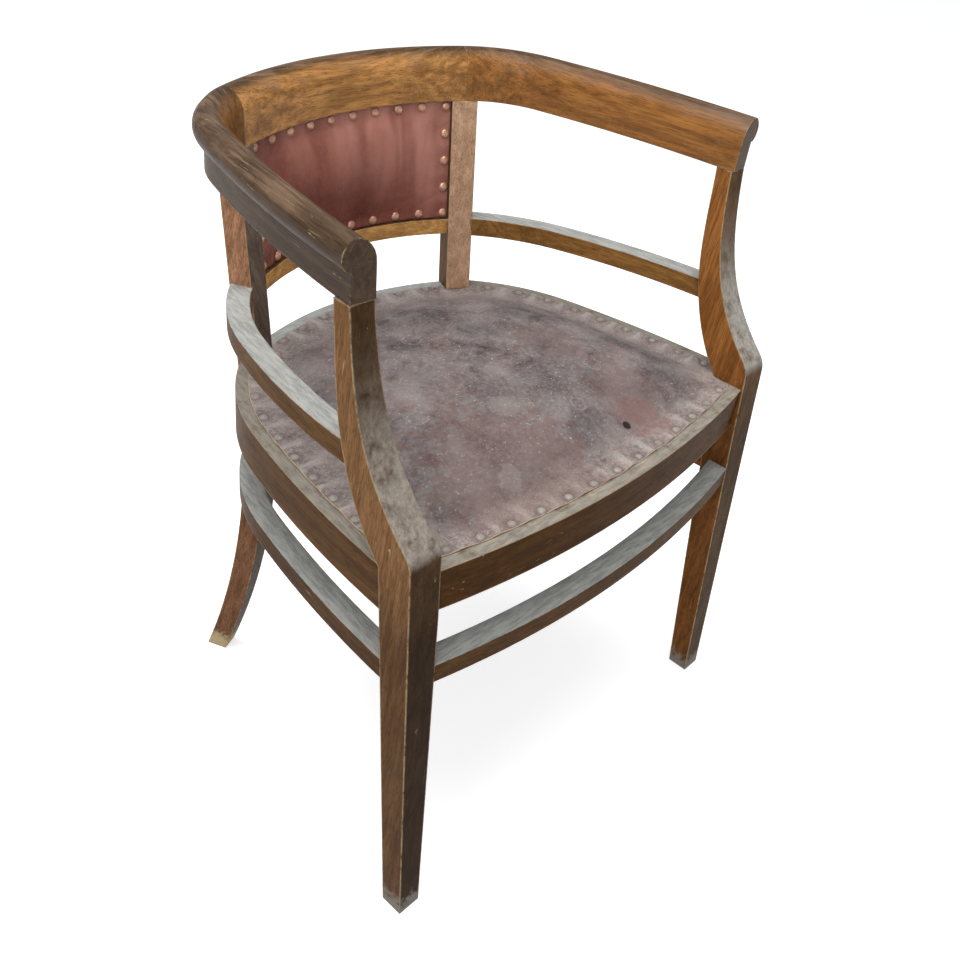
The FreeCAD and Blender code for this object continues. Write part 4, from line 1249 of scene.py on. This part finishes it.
@dataclass
class SeatCushion:
    """Nailed leather seat: a flat border and a swelled crown over the stuffing."""

    cells: int = 84
    centre: tuple[float, float] = (0.0, -0.015)
    base: float = 0.4502
    thick: float = 0.0018
    pressure: float = 3.0
    limit: float = 0.006
    thinnest: float = 0.0012
    # width of the painted shade in the dip about each nail
    nail_shade_width: float = 0.011
    border: float = 0.038
    border_height: float = 0.0026
    held_share: float = 0.93
    evening: float = 0.92
    inset: float = 0.0004
    edge_near: float = 0.1
    edge_far: float = 0.45
    over: float = 0.6
    steps: int = 720
    outline: list[float] = field(default_factory=list)

    def ray(self, turn: float, radius: float) -> Ray:
        """Downward ray at a polar place over the seat.

        Args:
            turn: angle in radians.
            radius: distance from the centre.

        Returns:
            Origin and direction.
        """
        x = self.centre[0] + radius * math.cos(turn)
        y = self.centre[1] + radius * math.sin(turn)
        return Vector((x, y, self.over)), Vector((0.0, 0.0, -1.0))

    def trace(self, cover: Surface) -> None:
        """Find the outline of a packed surface, drawn in a little.

        Args:
            cover: the surface.
        """
        def edge(turn: float) -> float:
            """Radius where the surface ends at a turn."""
            return cover.edge(self.edge_near, self.edge_far, lambda radius: self.ray(turn, radius))
        self.outline = [edge(math.tau * step / self.steps) - self.inset for step in range(self.steps)]

    def reach(self, turn: float) -> float:
        """Radius of the outline at a turn.

        Args:
            turn: angle in radians.

        Returns:
            The radius.
        """
        place = (turn / math.tau * self.steps) % self.steps
        low = int(place)
        share = place - low
        return self.outline[low % self.steps] * (1 - share) + self.outline[(low + 1) % self.steps] * share

    def disc(self, across: float, deep: float) -> tuple[float, float]:
        """Turn and share of the radius for a place on a square grid from -1 to 1.

        Args:
            across: place across.
            deep: place from front to back.

        Returns:
            Turn and share.
        """
        if across == 0.0 and deep == 0.0:
            return 0.0, 0.0
        if abs(across) > abs(deep):
            radius, turn = across, math.pi / 4 * deep / across
        else:
            radius, turn = deep, math.pi / 2 - math.pi / 4 * across / deep
        return (turn, radius) if radius >= 0 else (turn + math.pi, -radius)

    def net(self) -> list[tuple[float, float]]:
        """Turn and share of the radius of each point, row by row."""
        spread = [2 * number / self.cells - 1 for number in range(self.cells + 1)]
        return [self.disc(across, deep) for deep in spread for across in spread]

    def build(self) -> Piece:
        """Make the seat piece.

        Returns:
            The closed seat cushion.
        """
        cover = Surface("seat_leather")
        self.trace(cover)
        net = self.net()
        points = []
        for turn, share in net:
            origin, down = self.ray(turn, share ** self.evening * self.reach(turn))
            landed = cover.hit(origin, down)
            missed = Vector((origin.x, origin.y, self.base + self.thick))
            points.append(missed if landed is None else landed)
        faces = grid_faces(self.cells, self.cells)
        piece = new_piece("seat_cushion", points, faces, (SEAT_LEATHER.material(), CUT_EDGE.material()))
        flat = self.base + self.border_height
        held = [number for number, (point, (_, share)) in enumerate(zip(points, net))
                if point.z < flat or share > self.held_share]
        settle(piece, held, self.pressure, self.limit, lambda point: Vector((0.0, 0.0, 1.0)))
        border = piece.data.attributes.new("border", "FLOAT", "POINT")
        border.data.foreach_set("value", [
            math.exp(-(((1 - share ** self.evening) * self.reach_near(point) / self.border) ** 2))
            for (_, share), point in zip(net, points)])
        self.draw_in(piece)
        rim = grid_rim(self.cells, self.cells)
        close_below(piece, rim, lambda point: Vector((point.x, point.y, self.base)), 1)
        return piece

    def reach_near(self, point: Vector) -> float:
        """Radius of the outline in the direction of a point."""
        return self.reach(math.atan2(point.y - self.centre[1], point.x - self.centre[0]))

    def draw_in(self, piece: Piece) -> None:
        """Pull the border down at each nail and let it pucker between them.

        Args:
            piece: the open cushion.
        """
        lift = [0.0] * len(piece.data.vertices)
        for number, (dip, share, away) in SEAT_PULL.moves(piece).items():
            point = piece.data.vertices[number].co
            # pucker holds the rise between nails and the dip at each nail, for the painted highlight and
            # painted shade in the seat colour
            lift[number] = 0.5 * share - 0.5 * math.exp(-((away / self.nail_shade_width) ** 2))
            room = max(0.0, point.z - self.base - self.thinnest)
            point.z += SEAT_PULL.rise * share - min(dip, room)
        piece.data.attributes.new("pucker", "FLOAT", "POINT").data.foreach_set("value", lift)
        piece.data.update()

    def dress(self) -> None:
        """Build the cushion and hand it to the frame."""
        piece = self.build()
        round_off(piece)
        finish_piece(piece, ("seat_leather", "seat_stuffing"))


@dataclass
class BackPanel:
    """Padded front cover of the back, nailed all round, and the plain cover behind it."""

    across: int = 96
    upward: int = 48
    axis_y: float = -0.19
    low: float = 0.5414
    high: float = 0.6816
    pressure: float = 3.0
    limit: float = 0.005
    tub_reach: float = 0.2
    rear_reach: float = 0.7
    widest: float = math.radians(30.0)
    top_inset: float = 0.0006
    side_inset: float = 0.0008
    border_up: int = 5
    border_side: int = 4
    front_thick: float = 0.0016
    rear_thick: float = 0.0014
    off_board: float = 0.0003
    probe: float = 0.01

    def ray(self, turn: float, height: float, rear: bool) -> Ray:
        """Level ray from inside the tub out to the back, or from behind the chair in to it.

        Args:
            turn: angle in radians.
            height: height of the ray.
            rear: whether it starts behind.

        Returns:
            Origin and direction.
        """
        heading = Vector((math.sin(turn), math.cos(turn), 0.0))
        reach = self.rear_reach if rear else self.tub_reach
        return Vector((0.0, self.axis_y, height)) + heading * reach, -heading if rear else heading

    def grid(self, surface: Surface, rear: bool) -> list[Vector]:
        """Points on a packed surface, from the lower edge up, left to right.

        Args:
            surface: the surface.
            rear: whether it is met from behind.

        Returns:
            The points.
        """
        points = []
        for row in range(self.upward + 1):
            height = self.low + (self.high - self.low) * row / self.upward
            inside = min(max(height, self.low + self.top_inset), self.high - self.top_inset)
            left, right = (
                surface.edge(0.0, side * self.widest, lambda turn: self.ray(turn, inside, rear))
                - side * self.side_inset for side in (-1, 1))
            for column in range(self.across + 1):
                turn = left + (right - left) * column / self.across
                landed = surface.hit(*self.ray(turn, inside, rear))
                points.append(Vector((landed.x, landed.y, height)))
        return points

    def forward(self, point: Vector) -> Vector:
        """Direction from the back to the middle of the tub at a point."""
        return Vector((-point.x, self.axis_y - point.y, 0.0)).normalized()

    def build(self) -> Piece:
        """Make the padded cover.

        Returns:
            The closed back pad.
        """
        points = self.grid(Surface("back_leather"), rear=False)
        faces = grid_faces(self.across, self.upward)
        piece = new_piece("back_pad", points, faces, (BACK_LEATHER.material(), CUT_EDGE.material()))
        side = self.across + 1
        held = [number for number in range(len(points))
                if min(number // side, self.upward - number // side) <= self.border_up
                or min(number % side, self.across - number % side) <= self.border_side]
        settle(piece, held, self.pressure, self.limit, self.forward)
        self.draw_in(piece, BACK_PULL, self.forward)
        board = Surface("back_board")

        def drop(point: Vector) -> Vector:
            """Point on the board behind a rim point.

            Args:
                point: point of the leather.

            Returns:
                The point below it.
            """
            ahead = self.forward(point)
            landed = board.hit(point + ahead * self.probe, -ahead)
            return landed + ahead * self.off_board if landed else point - ahead * self.front_thick

        close_below(piece, grid_rim(self.across, self.upward), drop, 1)
        return piece

    def draw_in(self, piece: Piece, pull: NailPull, outward: Callable[[Vector], Vector]) -> None:
        """Pull the leather in at each nail and let it stand out between them.

        Args:
            piece: the leather.
            pull: pull of its nails.
            outward: outward direction at a point.
        """
        for number, (dip, share, _) in pull.moves(piece).items():
            vertex = piece.data.vertices[number]
            vertex.co += outward(vertex.co) * (pull.rise * share - dip)
        piece.data.update()

    def outer(self) -> Piece:
        """Make the plain cover on the rear of the board.

        Returns:
            The closed sheet.
        """
        points = self.grid(Surface("back_outer_leather"), rear=True)
        faces = [face[::-1] for face in grid_faces(self.across, self.upward)]
        finishes = (OUTER_LEATHER.material(), CUT_EDGE.material())
        piece = new_piece("back_outer_cover", points, faces, finishes)
        self.draw_in(piece, REAR_PULL, lambda point: -self.forward(point))
        rim = grid_rim(self.across, self.upward)[::-1]
        close_below(piece, rim, lambda point: point + self.forward(point) * self.rear_thick, 1)
        return piece

    def dress(self) -> None:
        """Build both covers and hand them to the frame."""
        pad = self.build()
        round_off(pad)
        finish_piece(pad, ("back_leather", "back_stuffing"))
        rear = self.outer()
        finish_piece(rear, ("back_outer_leather",))


@dataclass
class NailRow:
    """Dome nails of one border, hammered in a little unevenly."""

    node: str
    name: str
    finish: BrassFinish
    radius: float
    dome: float
    sink: float = 0.0009
    seed: int = 3
    sides: int = 16
    rings: int = 5
    lean: float = 0.09
    radius_spread: tuple[float, float] = (0.94, 1.04)
    dome_spread: tuple[float, float] = (0.86, 1.05)
    rim_spread: tuple[float, float] = (0.975, 1.02)
    under_share: float = 0.94
    lip: float = 0.0001
    tuck: float = 0.0004

    def head(self, seat: Vector, axis: Vector, chance: random.Random) -> Shell:
        """Points and faces of one nail head.

        Args:
            seat: middle of its rim.
            axis: direction it faces.
            chance: source of its small unevenness.

        Returns:
            Points and faces.
        """
        lean = Vector([chance.uniform(-1, 1) for _ in range(3)]) * self.lean
        axis = (axis + lean).normalized()
        spin = axis.to_track_quat("Z", "Y").to_matrix()
        radius = self.radius * chance.uniform(*self.radius_spread)
        dome = self.dome * chance.uniform(*self.dome_spread)
        profile = [(radius * self.under_share, -self.tuck), (radius, self.lip)]
        for ring in range(1, self.rings):
            turn = math.pi / 2 * ring / self.rings
            profile.append((radius * math.cos(turn), self.lip + dome * math.sin(turn)))
        wobble = [chance.uniform(*self.rim_spread) for _ in range(self.sides)]
        points = []
        for reach, rise in profile:
            for side, share in enumerate(wobble):
                turn = math.tau * side / self.sides
                flat = reach * share * math.cos(turn), reach * share * math.sin(turn), rise
                points.append(seat + spin @ Vector(flat))
        points.append(seat + spin @ Vector((0.0, 0.0, self.lip + dome)))
        tip = len(points) - 1
        last = tip - self.sides
        faces = tube_faces(len(profile), self.sides)
        faces += [(last + side, last + (side + 1) % self.sides, tip) for side in range(self.sides)]
        return points, faces

    def dress(self) -> None:
        """Build all heads as one piece and hand it to the frame."""
        chance = random.Random(self.seed)
        points, faces = joined(self.head(seat - axis * self.sink, axis, chance)
                               for seat, axis, _ in islands(self.node))
        piece = new_piece(self.name, points, faces, (self.finish.material(),))
        finish_piece(piece, (self.node,))


@dataclass
class SeatBase:
    """Woven straps and the hessian that lies on them."""

    strap_half: float = 0.0005525
    step: float = 0.012
    least_steps: int = 8
    wave: float = 0.000175
    pitch: float = 0.080
    end_inset: float = 0.016
    side_share: float = 0.04
    hessian_inset: float = 0.0001

    def strap(self, points: Sequence[Vector], along_x: bool, phase: float) -> Shell:
        """Points and faces of one strap over the box of its solid.

        Args:
            points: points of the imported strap.
            along_x: whether it runs across the chair.
            phase: 1 or -1, whether it starts over or under.

        Returns:
            Points and faces of a closed band.
        """
        low = [min(point[axis] for point in points) for axis in range(3)]
        high = [max(point[axis] for point in points) for axis in range(3)]
        run, side = (0, 1) if along_x else (1, 0)
        count = max(self.least_steps, round((high[run] - low[run]) / self.step))
        middle = (low[2] + high[2]) / 2
        start, length = low[run] + self.end_inset, high[run] - low[run] - 2 * self.end_inset
        near, far = self.side_share, 1 - self.side_share
        made: list[Vector] = []
        for index in range(count + 1):
            place = start + length * index / count
            lift = self.wave * phase * math.cos(place / self.pitch * math.pi)
            for share, up in ((near, -1), (far, -1), (far, 1), (near, 1)):
                spot = [0.0, 0.0, middle + lift + up * self.strap_half]
                spot[run] = place
                spot[side] = low[side] + (high[side] - low[side]) * share
                made.append(Vector(spot))
        faces = tube_faces(count + 1, 4)
        faces.append(tuple(count * 4 + corner for corner in range(4)))
        return made, faces

    def straps(self, node: str, along_x: bool, finish: Material) -> None:
        """Build the straps one way and hand them to the frame.

        Args:
            node: packed straps.
            along_x: whether they run across the chair.
            finish: their material.
        """
        points, faces = joined(self.strap(solid, along_x, 1.0 if number % 2 else -1.0)
                               for number, (_, _, solid) in enumerate(islands(node)))
        piece = new_piece(node + "_straps", points, faces, (finish,), smooth=False)
        mesh = bmesh.new()
        mesh.from_mesh(piece.data)
        bmesh.ops.recalc_face_normals(mesh, faces=mesh.faces)
        mesh.to_mesh(piece.data)
        mesh.free()
        finish_piece(piece, (node,))

    def hessian(self) -> None:
        """Build the hessian sheet on the straps and hand it to the frame."""
        cloth = Surface("seat_hessian")
        low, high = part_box("seat_hessian")
        seat = SeatCushion(cells=40, inset=0.0006)
        seat.trace(cloth)
        points = []
        for turn, share in seat.net():
            origin, _ = seat.ray(turn, share * seat.reach(turn))
            points.append(Vector((origin.x, origin.y, high[2] - self.hessian_inset)))
        faces = grid_faces(seat.cells, seat.cells)
        piece = new_piece("seat_hessian_sheet", points, faces, (HESSIAN.material(),))
        rim = grid_rim(seat.cells, seat.cells)
        under = low[2] + self.hessian_inset
        close_below(piece, rim, lambda point: Vector((point.x, point.y, under)), 0)
        finish_piece(piece, ("seat_hessian",))

    def dress(self) -> None:
        """Build straps and hessian."""
        jute = WEBBING.material()
        self.straps("webbing_long", False, jute)
        self.straps("webbing_cross", True, jute)
        self.hessian()


@dataclass
class Studio:
    """Pale floor, soft light and the camera."""

    eye: Triple = (-0.802, -0.675, 1.083)
    right: Triple = (0.67989, -0.72334, 0.12050)
    down: Triple = (-0.36878, -0.47930, -0.79641)
    forward: Triple = (0.63384, 0.49704, -0.59263)
    lens: float = 40.5
    sensor: float = 36.0
    nearest: float = 0.05
    floor_half: float = 6.0
    floor_glow: float = 0.55
    sky: float = 0.52

    def floor(self) -> None:
        """Lay the pale floor, brighter to the camera so that only soft shadows show."""
        around = ((-1, -1), (1, -1), (1, 1), (-1, 1))
        corners = [Vector((x, y, 0.0)) * self.floor_half for x, y in around]
        material, graph, shader = new_material("pale_floor")
        light = graph.add("ShaderNodeLightPath").outputs
        mirrored = graph.math("MAXIMUM", light["Is Glossy Ray"], light["Is Transmission Ray"])
        seen = graph.math("MAXIMUM", light["Is Camera Ray"], mirrored)
        graph.fill(shader, {"Base Color": tone(236, 236, 236), "Roughness": 0.9,
                            "Emission Color": (1.0, 1.0, 1.0, 1.0),
                            "Emission Strength": graph.times(seen, self.floor_glow)})
        plane = new_piece("floor", corners, [(0, 1, 2, 3)], (material,), smooth=False)

    def lamp(self, name: str, place: Triple, aim: Triple, size: float, power: float, color: Triple) -> None:
        """Hang one square soft lamp.

        Args:
            name: its name.
            place: where it hangs.
            aim: where it points.
            size: its side.
            power: watts.
            color: its light.
        """
        data = bpy.data.lights.new(name, "AREA")
        data.shape = "SQUARE"
        data.size = size
        data.energy = power
        data.color = color
        lamp = bpy.data.objects.new(name, data)
        bpy.context.scene.collection.objects.link(lamp)
        lamp.location = place
        lamp.rotation_euler = (Vector(aim) - Vector(place)).to_track_quat("-Z", "Y").to_euler()

    def lights(self) -> None:
        """Hang the lamps and set the surroundings."""
        self.lamp("overhead", (-0.3, 0.3, 2.6), (0.0, 0.0, 0.4), 2.2, 62.0, (1.0, 0.985, 0.96))
        self.lamp("window", (-2.2, -1.2, 1.7), (0.0, 0.0, 0.45), 1.6, 22.0, (0.96, 0.98, 1.0))
        world = bpy.data.worlds.new("studio")
        world.use_nodes = True
        graph = Graph(world.node_tree)
        sky = world.node_tree.nodes["Background"]
        seen = graph.add("ShaderNodeLightPath").outputs["Is Camera Ray"]
        graph.feed(sky.inputs["Color"], graph.mix(seen, (0.93, 0.95, 1.0, 1.0), (1.0, 1.0, 1.0, 1.0)))
        graph.feed(sky.inputs["Strength"], graph.math("MULTIPLY_ADD", seen, 1.0 - self.sky, self.sky))
        bpy.context.scene.world = world

    def camera(self) -> None:
        """Stand the camera at the photograph's viewing angle."""
        data = bpy.data.cameras.new("camera")
        data.sensor_width = self.sensor
        data.sensor_fit = "HORIZONTAL"
        data.lens = self.lens
        data.clip_start = self.nearest
        camera = bpy.data.objects.new("camera", data)
        bpy.context.scene.collection.objects.link(camera)
        turn = Matrix((Vector(self.right), -Vector(self.down), -Vector(self.forward))).transposed()
        camera.matrix_world = Matrix.Translation(self.eye) @ turn.to_4x4()
        bpy.context.scene.camera = camera

    def set_up(self) -> None:
        """Make floor, lights, camera and the plain view."""
        self.floor()
        self.lights()
        self.camera()
        bpy.context.scene.view_settings.view_transform = "Standard"


SEAT_LEATHER = LeatherFinish(
    "seat", pale=tone(126, 109, 107), deep=tone(56, 43, 44), film_color=tone(150, 148, 146), film=0.55,
    rough=0.6, coat=0.03, speck=0.6, border_color=tone(162, 144, 136), border=0.7,
    marks=(
        LeatherMark((-0.1, -0.17), 0.11, tone(116, 88, 82), 0.36, 2.4),
        LeatherMark((0.105, -0.152), 0.055, tone(112, 84, 80), 0.34, 2.4),
        LeatherMark((0.1, -0.03), 0.045, tone(104, 82, 80), 0.34, 2.4),
        LeatherMark((0.1, -0.186), 0.036, tone(132, 98, 91), 0.45, 1.7),
        LeatherMark((0.068, -0.181), 0.0062, tone(40, 24, 22), 0.92, 0.9),
        LeatherMark((-0.044, -0.1), 0.02, tone(170, 164, 160), 0.16, 3.0),
        LeatherMark((-0.112, -0.168), 0.016, tone(176, 170, 166), 0.2, 3.0),
        LeatherMark((-0.028, 0.059), 0.011, tone(188, 182, 178), 0.3, 1.8, ring_only=True),
        LeatherMark((-0.131, -0.057), 0.011, tone(188, 182, 178), 0.3, 1.8, ring_only=True),
        LeatherMark((0.108, -0.097), 0.010, tone(188, 182, 178), 0.3, 1.8, ring_only=True),
        LeatherMark((0.037, -0.135), 0.009, tone(188, 182, 178), 0.3, 1.8, ring_only=True),
    ))
# the back pad's sheen is a painted reflection of light, paler towards the top and right
BACK_LEATHER = LeatherFinish(
    "back", pale=tone(142, 80, 64), deep=tone(108, 54, 42), film_color=tone(160, 122, 118), film=0.2,
    rough=0.34, coat=0.22, speck=0.05, painted_sheen_color=tone(206, 144, 128), sheen=0.85)
OUTER_LEATHER = LeatherFinish(
    "outer", pale=tone(104, 58, 48), deep=tone(72, 36, 30), film_color=tone(140, 118, 116), film=0.3,
    rough=0.42, coat=0.25, speck=0.1)
CUT_EDGE = LeatherFinish(
    "cut_edge", pale=tone(206, 178, 146), deep=tone(168, 132, 100), film_color=tone(196, 186, 172),
    film=0.4, rough=0.8, coat=0.0, speck=0.1)
BACK_BRASS = BrassFinish("back", tone(218, 168, 140), tone(150, 100, 78), metal=0.75, rough=0.3)
SEAT_BRASS = BrassFinish("seat", tone(152, 145, 138), tone(116, 106, 100), metal=0.2, rough=0.55)
WEBBING = ClothFinish("webbing", tone(176, 148, 104), tone(96, 74, 46), threads=420.0)
HESSIAN = ClothFinish("hessian", tone(168, 138, 92), tone(88, 66, 40), threads=560.0)


def main() -> None:
    """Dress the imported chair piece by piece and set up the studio."""
    logging.basicConfig(level=logging.INFO, format="%(name)s: %(message)s")
    Studio().set_up()
    OakFrame().dress()
    SeatCushion().dress()
    BackPanel().dress()
    NailRow("seat_nails", "seat_nail_heads", SEAT_BRASS, radius=0.0049, dome=0.0026, seed=4).dress()
    NailRow("back_nails", "back_nail_heads", BACK_BRASS, radius=0.0058, dome=0.0033, seed=8).dress()
    NailRow("back_outer_nails", "outer_nail_heads", BACK_BRASS, radius=0.0056, dome=0.0032, seed=9).dress()
    SeatBase().dress()


if __name__ == "__main__":
    main()
